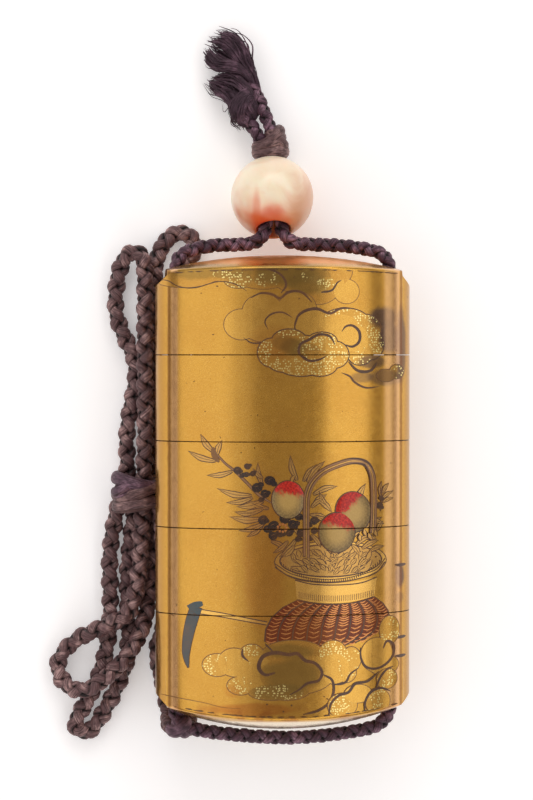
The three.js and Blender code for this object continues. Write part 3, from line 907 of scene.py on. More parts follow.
def case_shell(low, high):
    floor = low + RISER_HEIGHT + FIT + FLOOR
    rings = floor_rings(oval(HOLLOW), floor)
    rings += [flat_ring(oval(HOLLOW), floor + 0.5)]
    rings += mouth_rings(high)
    rings += [flat_ring(section(), low + SEAM_GAP / 2 + EDGE), flat_ring(section(EDGE), low + SEAM_GAP / 2)]
    rings += [flat_ring(oval(RECESS), low + SEAM_GAP / 2), flat_ring(oval(RECESS), low + RISER_HEIGHT + FIT)]
    rings += floor_rings(oval(RECESS), low + RISER_HEIGHT + FIT)[::-1]
    return shell_of_rings(rings)


def base_shell(seam):
    rings = inner_rings(FOOT, FOOT_Y, -1)
    rings += mouth_rings(seam)
    rings += rim_rings(FOOT, FOOT_Y, -1)
    bm = shell_of_rings(rings)
    cut_corners(bm, FOOT_Y + FOOT_CORNER_RISE, -1)
    return bm


def channel_cutter():
    """Both cord channels as one cutting object."""
    bm = bmesh.new()
    for x in (-CHANNEL_X, CHANNEL_X):
        turn = Matrix.Translation((x, 0, MIDDLE_Z)) @ Matrix.Rotation(math.pi / 2, 4, "X")
        bmesh.ops.create_cone(
            bm, cap_ends=True, segments=40, radius1=CHANNEL_RADIUS, radius2=CHANNEL_RADIUS,
            depth=LENGTH + 10, matrix=turn,
        )
    bmesh.ops.scale(bm, vec=(MM, MM, MM), verts=bm.verts)
    mesh = bpy.data.meshes.new("channels")
    bm.to_mesh(mesh)
    bm.free()
    cutter = bpy.data.objects.new("channels", mesh)
    bpy.context.scene.collection.objects.link(cutter)
    return cutter


def drill(piece, cutter):
    """Cut the cord channels through a piece and keep the cut mesh."""
    cut = piece.modifiers.new("channels", "BOOLEAN")
    cut.operation = "DIFFERENCE"
    cut.solver = "EXACT"
    cut.object = cutter
    graph = bpy.context.evaluated_depsgraph_get()
    mesh = bpy.data.meshes.new_from_object(piece.evaluated_get(graph))
    piece.modifiers.clear()
    piece.data = mesh
    mesh.shade_smooth()
    mesh.set_sharp_from_angle(angle=math.radians(38))


# The sheet that the picture on the face is drawn on, with its rows running down
SHEET_UNIT = 0.182  # mm
SHEET_MIDDLE = (288.0, 494.5)
GOLD_TONE = rgb(214, 162, 68)
TINTS = {"olive": rgb(146, 118, 60), "smoke": rgb(88, 70, 68), "rust": rgb(176, 92, 36)}
# Soft shades in the gold: place on the sheet, reach across and down, strength and tint
SOFT_SHADES = (
    (212, 272, 50, 10, 0.6, "olive"), (284, 272, 46, 18, 0.8, "olive"), (306, 284, 24, 14, 0.7, "olive"),
    (292, 348, 14, 9, 0.8, "olive"), (282, 344, 12, 8, 0.5, "olive"), (384, 318, 17, 13, 0.85, "smoke"),
    (391, 336, 12, 20, 0.9, "smoke"), (405, 345, 7, 38, 0.8, "smoke"), (372, 362, 16, 7, 0.7, "smoke"),
    (362, 378, 14, 6, 0.5, "smoke"), (386, 378, 18, 9, 0.6, "smoke"), (290, 650, 32, 9, 0.6, "olive"),
    (292, 672, 34, 19, 0.7, "olive"), (278, 690, 30, 8, 0.6, "olive"), (250, 708, 52, 7, 0.5, "rust"),
    (404, 578, 6, 15, 0.85, "smoke"), (404, 600, 6, 7, 0.4, "smoke"), (264, 556, 24, 90, 0.3, "rust"),
    (270, 345, 24, 22, 0.2, "rust"), (232, 690, 10, 8, 0.25, "rust"),
)


def case_place(at):
    """Where a place on the sheet is across and along the case, in millimetres."""
    return (at[0] - SHEET_MIDDLE[0]) * SHEET_UNIT, (SHEET_MIDDLE[1] - at[1]) * SHEET_UNIT


def gold_group():
    """Gold powder under clear lacquer: its colour with soft shades, its gloss, grain and slow waves."""
    t, inside, outside = new_group(
        "gold_ground",
        {"Tone": ("Color", GOLD_TONE), "Shade": ("Float", 1.0)},
        {"Colour": "Color", "Roughness": "Float", "Normal": "Vector"},
    )
    place = t.coordinates()
    x, y, z = t.parts(place)
    cloudy = t.noise(place, 130.0, detail=5.0, roughness=0.6)
    grain = t.noise(place, 5200.0, detail=2.0)
    glitter = t.plus(t.times(inside["Shade"], 0.26), 0.04)
    colour = t.mix(t.times(t.ramp(cloudy, 0.38, 0.7), 0.16), inside["Tone"], rgb(178, 112, 40))
    colour = t.mix(t.times(t.ramp(grain, 0.52, 0.74), glitter), colour, rgb(250, 212, 128))
    colour = t.mix(t.times(t.ramp(grain, 0.46, 0.28), 0.25), colour, rgb(150, 92, 30))
    front = t.times(t.ramp(z, MIDDLE_Z * MM, (MIDDLE_Z + 1) * MM), inside["Shade"])
    ragged = t.times(t.minus(cloudy, 0.5), 1.1)
    for column, row, wide, high, strength, tint in SOFT_SHADES:
        middle = case_place((column, row))
        across = t.times(t.minus(x, middle[0] * MM), 1 / wide)
        along = t.times(t.minus(y, middle[1] * MM), 1 / high)
        away = t.math("SQRT", t.plus(t.times(across, across), t.times(along, along)))
        away = t.plus(t.times(away, 1 / (SHEET_UNIT * MM)), ragged)
        spot = t.times(t.ramp(away, 1.12, 0.6, 0.0, strength), front)
        colour = t.mix(spot, colour, TINTS[tint])
    t.link(colour, outside["Colour"])
    t.link(t.ramp(t.noise(place, 700.0), 0.3, 0.7, 0.19, 0.25), outside["Roughness"])
    waves = t.bump(t.noise(t.mapping(place, scale=(1.0, 0.35, 1.0)), 95.0, detail=2.0), 0.12, 0.0008)
    fine = {"Height": grain, "Strength": 0.1, "Distance": 0.00003, "Normal": waves}
    t.link(t.add("ShaderNodeBump", fine).outputs["Normal"], outside["Normal"])
    return t.tree


GOLD = gold_group()


def lacquer(name, tone, metallic, speckle=0.0, gloss=0.0, shade=1.0):
    """A lacquer of one tone over the gold ground, with bright flakes where it has a speckle."""
    material, shader, t = new_material(name)
    ground = t.add("ShaderNodeGroup", {"Tone": rgb(*tone), "Shade": shade}, node_tree=GOLD).outputs
    colour = ground["Colour"]
    if speckle:
        place = t.coordinates()
        inputs = {"Vector": place, "Scale": 2300.0, "Randomness": 0.8}
        cells = t.add("ShaderNodeTexVoronoi", inputs, voronoi_dimensions="2D").outputs
        dots = t.ramp(cells["Distance"], 0.36, 0.24)
        fewer = 0.22 * speckle
        where = t.ramp(t.noise(place, 330.0, detail=1.0), 0.6 - fewer, 0.68 - fewer)
        kept = t.ramp(cells["Color"], 0.58 - fewer, 0.62 - fewer)
        colour = t.mix(t.times(t.times(dots, where), kept), colour, rgb(255, 236, 156))
    t.link(colour, shader.inputs["Base Color"])
    t.link(ground["Roughness"], shader.inputs["Roughness"])
    t.link(ground["Normal"], shader.inputs["Normal"])
    set_plain(shader, {"Metallic": metallic, "Coat Weight": gloss, "Coat Roughness": 0.14})
    return material


# Marks on the case, in millimetres: a brown line of dirt and painted shade outside the crease's middle, a
# painted highlight band inside that line, a painted highlight stripe down the right of the face, and where
# the face gives way to the side, with painted shade on the side
LINE_OUTSIDE = 0.35
HIGHLIGHT_INSIDE = 0.9
HIGHLIGHT_STRIPE_X = 18.9
SIDE_SHADE_FROM, SIDE_SHADE_TO = 21.4, 22.8
FACE_FROM, FACE_TO = 12.0, 12.5
# How far from the foot and the crown their tones begin and are full; the crown's paler, pinker tone is a
# painted reflection
WORN_FROM, WORN_TO = 7.0, 3.5
PALE_FOOT_FROM, PALE_FOOT_TO = 2.75, 2.3
DOME_FROM, DOME_TO = 2.25, 1.5


def case_material():
    """The gold ground of the cases, worn brown along the seams and the foot, with dirt and painted shade
    along the creases, painted highlights beside them, painted shade on the sides and a painted reflection on
    the crown.
    """
    material, shader, t = new_material("gold_lacquer")
    place = t.coordinates()
    x, y, z = t.parts(place)
    from_middle = t.math("ABSOLUTE", x)
    ragged = t.times(t.minus(t.noise(place, 800.0, detail=4.0), 0.5), 0.0012)
    face = t.ramp(z, FACE_FROM * MM, FACE_TO * MM)
    from_line = t.minus(from_middle, (CREASE_X + LINE_OUTSIDE) * MM)
    # Brown line outside the middle of each crease: dirt and painted shade
    line = t.plus(t.math("ABSOLUTE", from_line), t.times(ragged, 0.25))
    line = t.times(t.ramp(line, 0.0004, 0.0001), face)
    # Painted highlight: a pale band inside the brown line, where the face's rounded edge catches light
    pale = t.times(t.ramp(t.apart(from_line, -HIGHLIGHT_INSIDE * MM), 0.0009, 0.0003), face)
    # Painted highlight: a pale stripe down the right of the face
    painted_highlight_stripe = t.times(t.ramp(t.apart(x, HIGHLIGHT_STRIPE_X * MM), 0.0014, 0.0005), face)
    seam = 0.0
    for seam_y in SEAMS:
        gap = t.plus(t.apart(y, seam_y * MM), t.times(ragged, 0.15))
        seam = t.math("MAXIMUM", seam, t.ramp(gap, 0.00015, 0.00007))
    pit = t.ramp(t.noise(place, 1500.0, detail=1.0), 0.77, 0.79)
    worn = t.ramp(y, (FOOT_Y + WORN_FROM) * MM, (FOOT_Y + WORN_TO) * MM)
    worn = t.times(worn, t.ramp(t.noise(place, 260.0, detail=5.0), 0.5, 0.62))
    # Painted reflection: the crown tinted paler and pinker; the same zone is also made rougher
    dome = t.ramp(y, (CROWN_Y - DOME_FROM) * MM, (CROWN_Y - DOME_TO) * MM)
    under = t.ramp(y, (FOOT_Y + PALE_FOOT_FROM) * MM, (FOOT_Y + PALE_FOOT_TO) * MM)
    # Painted shade: the sides beyond the creases darkened
    side = t.ramp(from_middle, SIDE_SHADE_FROM * MM, SIDE_SHADE_TO * MM)
    ground = t.add("ShaderNodeGroup", {"Tone": GOLD_TONE, "Shade": 1.0}, node_tree=GOLD).outputs
    colour = ground["Colour"]
    # Each layer's mask, strength and tone, lowest first: the side, pale band, stripe and crown tones are
    # painted light, and the brown line is dirt and painted shade
    for mask, strength, tone in (
        (side, 0.4, rgb(150, 100, 44)),
        (pale, 0.55, rgb(246, 196, 150)),
        (painted_highlight_stripe, 0.45, rgb(244, 196, 144)),
        (line, 0.6, rgb(130, 78, 48)),
        (seam, 0.6, rgb(70, 42, 22)),
        (pit, 0.7, rgb(92, 56, 28)),
        (worn, 0.45, rgb(160, 88, 42)),
        (dome, 0.7, rgb(252, 166, 92)),
        (under, 0.85, rgb(250, 236, 210)),
    ):
        colour = t.mix(t.times(mask, strength), colour, tone)
    t.link(colour, shader.inputs["Base Color"])
    t.link(t.plus(ground["Roughness"], t.times(dome, 0.14)), shader.inputs["Roughness"])
    t.link(ground["Normal"], shader.inputs["Normal"])
    set_plain(shader, {"Metallic": 0.88, "Coat Weight": 0.12, "Coat Roughness": 0.1})
    return material


def make_case():
    gold = case_material()
    cutter = channel_cutter()
    shells = [("lid", lid_shell(SEAMS[0]))]
    for i in range(MIDDLE_CASES):
        shells.append((f"case_{i + 1}", case_shell(SEAMS[i + 1], SEAMS[i])))
    shells.append((f"case_{MIDDLE_CASES + 1}", base_shell(SEAMS[-1])))
    for node, bm in shells:
        piece = add_object(f"{node}_lacquer", bm, gold)
        drill(piece, cutter)
        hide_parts(node)
    bpy.data.objects.remove(cutter)


# Picture on the face, laid on the lacquer as thin slabs: clouds above and below, fruit and a
# branch in a tall basket, and a hoe beside it. Its slabs' heights, in millimetres: the lowest top,
# what each level adds, and how deep they reach into the lacquer
FIRST_LEVEL = 0.02
LEVEL = 0.011
SLAB_DEPTH = 0.05
# Strips that bend with the face, finer beyond a place across it, and how far out the picture goes
FINE_STRIP = 0.55
FINE_FROM = 16.5
PICTURE_REACH = 23.0
PEACH_HEIGHT = 0.2

INKS = {
    "ink": lacquer("ink_line", (78, 54, 42), 0.1, shade=0.0),
    "soft_ink": lacquer("soft_ink", (122, 88, 56), 0.4, shade=0.3),
    "gold": lacquer("cloud_gold", (222, 172, 80), 0.88),
    "flakes": lacquer("cloud_flakes", (212, 162, 74), 0.85, speckle=1.0),
    "olive": lacquer("cloud_olive", (206, 154, 70), 0.85),
    "olive_flakes": lacquer("cloud_olive_flakes", (190, 144, 68), 0.8, speckle=0.7),
    "leaf": lacquer("leaf_gold", (206, 160, 88), 0.8),
    "black": lacquer("berry_black", (22, 18, 20), 0.0, gloss=0.3, shade=0.0),
    "blade": lacquer("blade_blue", (62, 78, 82), 0.3, gloss=0.2, shade=0.0),
    "wicker": lacquer("wicker_red", (108, 46, 22), 0.35, shade=0.0),
    "cane": lacquer("cane_copper", (224, 150, 88), 0.75),
    "collar": lacquer("collar_gold", (240, 190, 98), 0.88),
    "stem": lacquer("stem_brown", (150, 112, 80), 0.4, shade=0.0),
}
# Middle and radii on the sheet, turn, and the direction of its blush from straight up
PEACHES = {
    "peach_left": ((287, 499), (16, 18.5), 0, 8),
    "peach_back": ((353, 512), (18, 20), -14, -38),
    "peach_front": ((336, 532), (18, 19.5), 0, 12),
}


def peach_material(name, at, radii, blush):
    """Olive skin that darkens to its edge, with vermilion rubbed in at one side of its top."""
    material, shader, t = new_material(name)
    scale = [1 / (SHEET_UNIT * MM) / radius for radius in radii]
    x, y = case_place(at)
    location = (-x * MM * scale[0], -y * MM * scale[1], 0)
    place = t.mapping(t.coordinates(), scale=(*scale, 0.0), location=location)
    away = t.add("ShaderNodeVectorMath", {0: place}, operation="LENGTH").outputs["Value"]
    toward = (math.sin(math.radians(blush)), math.cos(math.radians(blush)), 0)
    up = t.add("ShaderNodeVectorMath", {0: place, 1: toward}, operation="DOT_PRODUCT").outputs["Value"]
    fine = t.noise(place, 9.0, detail=4.0, roughness=0.7)
    ragged = t.plus(t.times(fine, 0.5), t.times(t.noise(place, 2.6), 0.8))
    olive = t.mix(t.ramp(away, 0.3, 1.05), rgb(178, 144, 78), rgb(104, 84, 50))
    olive = t.mix(t.ramp(fine, 0.35, 0.7, 0.0, 0.35), olive, rgb(206, 170, 100))
    red = t.mix(t.ramp(fine, 0.4, 0.62), rgb(150, 18, 12), rgb(206, 46, 26))
    colour = t.mix(t.ramp(t.plus(up, ragged), 0.82, 1.12), olive, red)
    t.link(colour, shader.inputs["Base Color"])
    t.link(t.bump(fine, 0.3, 0.00004), shader.inputs["Normal"])
    set_plain(shader, {
        "Metallic": 0.25,
        "Roughness": 0.33,
        "Coat Weight": 0.25,
        "Coat Roughness": 0.15,
    })
    return material


for key, (at, radii, _, blush) in PEACHES.items():
    INKS[key] = peach_material(key, at, radii, blush)
INK_ORDER = list(INKS)


def rim_limit(x, end, middle, side):
    """Where the wall of the case ends at a place across its face."""
    z = HALF_DEPTH * math.sqrt(max(0.0, 1 - (x / HALF_WIDTH) ** 2))
    y = middle - side * (fall(end, x, z) + RIM_EDGE + 0.05)
    corner = LID_CORNER_DROP if side > 0 else FOOT_CORNER_RISE
    limit = middle - side * (corner + max(0.0, abs(x) - CORNER_X))
    if abs(x) > CORNER_X - 0.2:
        y = min(y, limit) if side > 0 else max(y, limit)
    return y


def on_face(x, y, height):
    """A place on the face of the case, or above it."""
    x = max(-PICTURE_REACH, min(PICTURE_REACH, x))
    z = HALF_DEPTH * math.sqrt(1 - (x / HALF_WIDTH) ** 2)
    step = outward(x, z) * (height - valley(x))
    return Vector((x + step.x, y, z + step.y + MIDDLE_Z))


def set_round(bm, at, radii, turn):
    """Stretch, turn and place a round patch on the sheet."""
    about = Matrix.Rotation(math.radians(turn), 3, "Z")
    for v in bm.verts:
        v.co = about @ Vector((v.co.x * radii[0], v.co.y * radii[1], 0))
        v.co += Vector((*at, 0))


class Picture:
    """Slabs of all the motifs, gathered in one bmesh in millimetres."""

    def __init__(self):
        self.sheet = bmesh.new()

    def lay(self, bm, ink, level, strips=True, rise=None):
        """Cut a flat motif for the bend of the face and the seams, and thicken it on the face."""
        for v in bm.verts:
            x, y = case_place(v.co)
            v.co = (max(-PICTURE_REACH, min(PICTURE_REACH, x)), y, 0)
        left = min(v.co.x for v in bm.verts)
        right = max(v.co.x for v in bm.verts)
        beside_seam = SEAM_GAP / 2 + EDGE
        count = int(PICTURE_REACH / FINE_STRIP)
        for i in range(-count, count + 1):
            x = i * FINE_STRIP
            if strips and left < x < right and (i % 2 == 0 or abs(x) > FINE_FROM):
                cut_along(bm, (x, 0, 0), (1, 0, 0), 1e-4)
        for seam in SEAMS:
            for side in (-1, 1):
                cut_along(bm, (0, seam + side * beside_seam, 0), (0, 1, 0), 1e-4)
        gone = []
        for face in bm.faces:
            y = face.calc_center_median().y
            if any(abs(y - seam) < beside_seam for seam in SEAMS):
                gone.append(face)
        bmesh.ops.delete(bm, geom=gone, context="FACES")
        for v in bm.verts:
            top = rim_limit(v.co.x, CROWN, CROWN_Y, 1)
            bottom = rim_limit(v.co.x, FOOT, FOOT_Y, -1)
            v.co.y = max(bottom, min(top, v.co.y))
        bmesh.ops.dissolve_degenerate(bm, edges=bm.edges, dist=1e-3)
        low = set(bm.verts)
        bmesh.ops.extrude_face_region(bm, geom=list(bm.faces), use_keep_orig=True)
        height = FIRST_LEVEL + LEVEL * level
        for v in bm.verts:
            lift = height + (rise(v.co.x, v.co.y) if rise else 0.0)
            v.co = on_face(v.co.x, v.co.y, -SLAB_DEPTH if v in low else lift)
        bmesh.ops.recalc_face_normals(bm, faces=bm.faces)
        index = INK_ORDER.index(ink)
        for face in bm.faces:
            face.material_index = index
        mesh = bpy.data.meshes.new("motif")
        bm.to_mesh(mesh)
        bm.free()
        self.sheet.from_mesh(mesh)
        bpy.data.meshes.remove(mesh)

    def disc(self, at, radii, ink, level, turn=0.0, points=40):
        """An oval patch."""
        bm = bmesh.new()
        bmesh.ops.create_circle(bm, cap_ends=True, segments=points, radius=1)
        set_round(bm, at, radii, turn)
        self.lay(bm, ink, level)

    def mound(self, at, radii, ink, level, turn, high):
        """A low rounded patch, highest in its middle."""
        bm = bmesh.new()
        bmesh.ops.create_grid(bm, x_segments=18, y_segments=18, size=1)
        for v in bm.verts:
            reach = max(abs(v.co.x), abs(v.co.y))
            if reach > 0:
                v.co = v.co.normalized() * reach
        set_round(bm, at, radii, turn)
        x, y = case_place(at)

        def rise(vx, vy):
            across = (vx - x) / (radii[0] * SHEET_UNIT)
            along = (vy - y) / (radii[1] * SHEET_UNIT)
            return high * math.sqrt(max(0.0, 1 - 0.98 * (across ** 2 + along ** 2)))

        self.lay(bm, ink, level, strips=False, rise=rise)

    def cloud(self, lobes, level, rim, rim_ink):
        """Lobes that run together, with one dark line round them all."""
        apart = 0.07  # of a level, so that no two tops meet
        for i, (x, y, wide, high, ink) in enumerate(lobes):
            self.disc((x, y), (wide + rim, high + rim), rim_ink, level + apart * i)
        for i, (x, y, wide, high, ink) in enumerate(lobes):
            self.disc((x, y), (wide, high), ink, level + 1 + apart * i)

    def stroke(self, points, width, ink, level, taper=(0.35, 0.35), step=2.0):
        """A brush line through points, as wide as it says in the middle and thinner at its ends."""
        line, run = smooth_route([(x, y, 0.0) for x, y in points], step)
        along = unit(np.gradient(line, axis=0))
        across = np.stack([-along[:, 1], along[:, 0], 0 * along[:, 0]], 1)
        share = run / run[-1]
        swell = np.minimum(1, np.minimum(taper[0] + share * 5, taper[1] + (1 - share) * 5))
        if isinstance(width, tuple):
            width = np.interp(share, np.linspace(0, 1, len(width)), width)
        half = swell * width / 2
        bm = bmesh.new()
        count = len(line)
        bmesh.ops.create_grid(bm, x_segments=count - 1, y_segments=1, size=1)
        for v in bm.verts:
            i = round((v.co.x + 1) / 2 * (count - 1))
            v.co = Vector(line[i] + across[i] * half[i] * (1 if v.co.y > 0 else -1))
        self.lay(bm, ink, level, strips=False)

    def leaf(self, base, tip, width, level, vein=True):
        """A pointed leaf with a dark edge and a vein."""
        bend = 0.07
        middle_x = (base[0] + tip[0]) / 2 + (tip[1] - base[1]) * bend
        middle_y = (base[1] + tip[1]) / 2 + (base[0] - tip[0]) * bend
        spine = [base, (middle_x, middle_y), tip]
        self.stroke(spine, (width * 0.5 + 1.4, width + 1.8, 1.2), "ink", level, (0.6, 0.2))
        self.stroke(spine, (width * 0.4, width, 0.3), "leaf", level + 1, (0.4, 0.1))
        if vein:
            self.stroke(spine, 0.5, "ink", level + 2, (0.6, 0.2), step=3.0)

    def panel(self, rows, ink, level, across=24):
        """A patch between rows that each run from a left point to a right point and sag between."""
        bm = bmesh.new()
        bmesh.ops.create_grid(bm, x_segments=across, y_segments=len(rows) - 1, size=1)
        for v in bm.verts:
            share = (v.co.x + 1) / 2
            row = rows[round((v.co.y + 1) / 2 * (len(rows) - 1))]
            v.co = (*panel_point(row, share), 0)
        self.lay(bm, ink, level)


def panel_point(row, share):
    (x0, y0), (x1, y1), sag = row
    return (x0 + (x1 - x0) * share, y0 + (y1 - y0) * share + sag * 4 * share * (1 - share))


# Clouds from the lowest up, each with its level, the width and ink of its rim, its lobes (place,
# reach across and down, ink) and the brush lines over it (level, width along it, points)
UPPER_CLOUDS = (
    (0, 0.7, "soft_ink", (
        (186, 268, 40, 20, "olive"), (222, 264, 34, 18, "olive"), (262, 270, 34, 20, "olive"),
        (300, 272, 34, 22, "olive"), (328, 272, 24, 16, "olive"), (316, 290, 22, 15, "olive"),
        (346, 292, 13, 12, "gold"), (222, 275, 9, 4, "olive_flakes"), (238, 281, 14, 8, "olive_flakes"),
        (266, 280, 13, 8, "olive_flakes"), (315, 277, 15, 8, "olive_flakes"), (325, 286, 10, 8, "flakes"),
    ), (
        (2, 1.0, [(161, 279), (170, 281), (178, 286), (188, 288.5), (198, 288), (208, 285), (219, 282.4),
                  (230, 283.5), (239, 287), (246, 292)]),
        (2, (1.0, 2.0, 2.2), [(252, 270), (270, 271), (281, 277), (285, 286), (280, 294)]),
        (2, (2.2, 2.0, 1.2), [(320, 293), (331, 291), (337, 283), (341, 281)]),
    )),
    (3, 0.8, "soft_ink", (
        (241, 325, 17, 15, "gold"), (262, 312, 20, 17, "gold"), (296, 309, 19, 16, "gold"),
        (280, 326, 26, 17, "gold"), (262, 331, 18, 11, "gold"),
    ), (
        (5, (1.4, 2.4, 2.0), [(250, 299), (260, 294), (271, 295), (279, 299), (287, 293), (300, 293),
                              (311, 303)]),
        (5, (1.0, 1.8, 1.2), [(267, 330), (264, 322), (270, 315), (281, 313), (291, 318)]),
        (5, (1.0, 2.0, 1.6), [(243, 338), (250, 343), (262, 343), (274, 337), (284, 331)]),
    )),
    (6, 1.1, "ink", (
        (314, 326, 20, 15, "gold"), (345, 323, 25, 14, "flakes"), (365, 330, 17, 15, "flakes"),
        (370, 345, 15, 15, "flakes"), (360, 356, 12, 9, "flakes"), (345, 342, 24, 16, "gold"),
        (338, 325, 20, 10, "gold"), (352, 338, 16, 14, "gold"),
    ), (
        (8, (1.8, 2.6, 2.0), [(293, 329), (298, 315), (314, 309), (329, 314), (340, 309), (354, 309)]),
        (8, (1.6, 3.2, 2.0), [(341, 332), (345, 327), (352, 326), (359, 332), (359, 342), (352, 347),
                              (344, 345)]),
    )),
    (9, 1.1, "ink", (
        (271, 353, 14, 14, "flakes"), (288, 341, 17, 11, "olive_flakes"), (300, 355, 30, 19, "olive"),
        (300, 367, 22, 9, "flakes"), (319, 366, 17, 10, "flakes"), (334, 355, 14, 13, "flakes"),
        (321, 342, 15, 9, "flakes"), (283, 362, 16, 10, "flakes"), (285, 349, 13, 11, "olive"),
        (306, 351, 13, 7, "olive_flakes"), (316, 355, 9, 4, "olive"),
    ), (
        (11, (2.4, 2.8, 2.2), [(306, 359), (298, 354), (299, 345), (308, 340), (318, 335), (329, 337),
                               (334, 345)]),
        (11, (2.6, 2.4, 1.0), [(300, 357), (308, 361), (318, 360), (326, 356)]),
        (4, (1.4, 2.2, 1.0), [(341, 373), (350, 377), (354, 382), (366, 388), (380, 387)]),
        (9, (1.6, 3.2, 1.8), [(348, 362), (358, 371), (371, 371), (378, 363)]),
    )),
    (3, 0.8, "soft_ink", ((400, 372, 8, 7, "olive_flakes"), (388, 376, 10, 6, "olive")), ()),
)
LOWER_CLOUDS = (
    (5, 0.9, "soft_ink", (
        (217, 664, 14, 11, "flakes"), (234, 661, 16, 14, "gold"), (251, 653, 12, 10, "flakes"),
        (240, 684, 13, 9, "flakes"), (262, 672, 26, 19, "gold"), (270, 691, 22, 7, "olive_flakes"),
        (292, 651, 30, 12, "olive"), (300, 672, 34, 20, "gold"), (332, 652, 14, 12, "flakes"),
        (351, 659, 10, 12, "flakes"), (346, 672, 10, 10, "flakes"), (334, 668, 15, 15, "gold"),
        (290, 674, 31, 19, "olive"), (286, 690, 22, 8, "olive_flakes"),
    ), (
        (9, (4.2, 3.4, 2.2), [(274, 671), (264, 673), (258, 666), (262, 655), (274, 651), (288, 653),
                              (296, 652), (304, 659), (314, 662), (321, 671), (318, 679), (306, 682),
                              (298, 688), (289, 693)]),
        (9, (2.6, 2.6, 2.0), [(321, 673), (331, 679), (333, 690), (329, 701), (318, 709), (302, 713)]),
        (9, (1.6, 2.6, 1.0), [(242, 647), (242, 654), (248, 660)]),
        (9, 1.6, [(264, 642), (269, 647), (272, 650)]),
        (9, (2.6, 2.2, 1.2), [(334, 684), (345, 682), (350, 674), (359, 668)]),
    )),
    (5, 0.8, "soft_ink", (
        (378, 656, 17, 17, "gold"), (392, 632, 11, 14, "flakes"), (386, 667, 16, 10, "gold"),
    ), (
        (9, (2.2, 2.4, 3.0), [(361, 648), (361, 658), (366, 667), (376, 670), (388, 666), (396, 657),
                              (396, 647), (389, 643), (385, 650)]),
    )),
    (10, 0.8, "soft_ink", (
        (342, 705, 15, 12, "flakes"), (358, 694, 14, 9, "gold"), (379, 703, 13, 13, "flakes"),
        (389, 681, 11, 10, "flakes"),
    ), (
        (12, (2.0, 3.0, 2.0), [(328, 716), (330, 703), (338, 695), (348, 692), (355, 684), (368, 682),
                               (380, 673)]),
        (12, (1.8, 3.0, 1.6), [(365, 712), (366, 701), (373, 692), (384, 690), (393, 694)]),
        (12, (1.6, 2.6, 1.4), [(377, 690), (381, 680), (388, 672), (396, 669)]),
    )),
)
RIGHT_DASH_ROWS = (567, 640, 659)


def draw_clouds(p):
    for level, rim, rim_ink, lobes, lines in UPPER_CLOUDS + LOWER_CLOUDS:
        p.cloud(lobes, level, rim, rim_ink)
        for line_level, width, points in lines:
            p.stroke(points, width, "ink", line_level)
    for y in RIGHT_DASH_ROWS:
        p.stroke([(398, y), (404, y + 0.5), (411, y)], (1.6, 3.4, 2.4), "ink", 2)


# Basket on the sheet: the middle and reach of its mouth, its front rim, the collar under it (rows
# from left to right with their sag) and the plaited body
MOUTH = (331, 560)
MOUTH_REACH = (49, 14)
RIM = [(274, 566), (290, 576), (312, 581), (335, 582), (358, 579), (378, 573), (387, 563)]
RIM_DOWN = 3.4
LEAF_ROWS, LEAF_COLUMNS = 3, 18
RIM_TICKS = 46
COLLAR = [((294, 579), (378, 578), 4), ((295, 594), (376, 593), 5), ((296, 598), (375, 597), 5)]
COLLAR_TICKS = 40
COLLAR_LINES = (
    ([(294, 579), (310, 583), (336, 584.5), (362, 583), (378, 578)], 1.2),
    ([(296, 598.5), (312, 602), (336, 603.5), (360, 602), (375, 597.5)], 1.1),
)
BODY = [
    ((297, 598), (375, 597), 6), ((281, 606), (385, 604), 5), ((270, 616), (391, 612), 3),
    ((264, 628), (393, 620), 1), ((263, 640), (388, 629), 6), ((268, 642), (366, 640), 7),
]
RIBS = 9
PLAIT_ROWS = 16
BLUNT = (1, 1)


def draw_mouth_leaves(p, rng):
    """Leaves that lean outwards and stay inside the mouth."""
    for i in range(LEAF_ROWS * LEAF_COLUMNS):
        row, column = divmod(i, LEAF_COLUMNS)
        x = 288 + 86 * (column + rng.uniform(0.2, 0.8)) / LEAF_COLUMNS
        y = 551 + 7 * row + rng.uniform(-2, 2)
        long = rng.uniform(10, 15)
        lean = math.radians((62 if x < MOUTH[0] else 118) + rng.uniform(-22, 22))
        tip = [x + long * math.cos(lean), y + long * 0.7 * math.sin(lean)]
        out = math.hypot((tip[0] - MOUTH[0]) / MOUTH_REACH[0], (tip[1] - MOUTH[1]) / MOUTH_REACH[1])
        if out > 1:
            tip = [c + (t - c) / out for t, c in zip(tip, MOUTH)]
        p.leaf((x, y), tuple(tip), rng.uniform(3.2, 4.4), 4 + i % 3 + 0.02 * i, vein=i % 2 == 0)


def draw_plait(p, rng):
    """Rows of short canes that sag between the ribs of the body."""
    for k in range(1, RIBS):
        p.stroke([panel_point(row, k / RIBS) for row in BODY], 1.3, "ink", 4, BLUNT)
    for k in range(RIBS):
        for j in range(PLAIT_ROWS):
            row = (j + 0.5) / PLAIT_ROWS * (len(BODY) - 1)
            i = min(int(row), len(BODY) - 2)
            ends = []
            for place, drop in ((0.14, 0.0), (0.5, 1.6), (0.86, 0.0)):
                a = panel_point(BODY[i], (k + place) / RIBS)
                b = panel_point(BODY[i + 1], (k + place) / RIBS)
                x, y = (u + (v - u) * (row - i) for u, v in zip(a, b))
                ends.append((x, y + drop + rng.uniform(-0.3, 0.3)))
            p.stroke(ends, 1.0, "cane", 3, (0.5, 0.5))
            (x0, y0), (x1, y1), _ = ends
            p.stroke([((x0 + x1) / 2, y1 + 0.9), (x1, y1 + 1.4)], 0.5, "cane", 3, (0.5, 0.3))


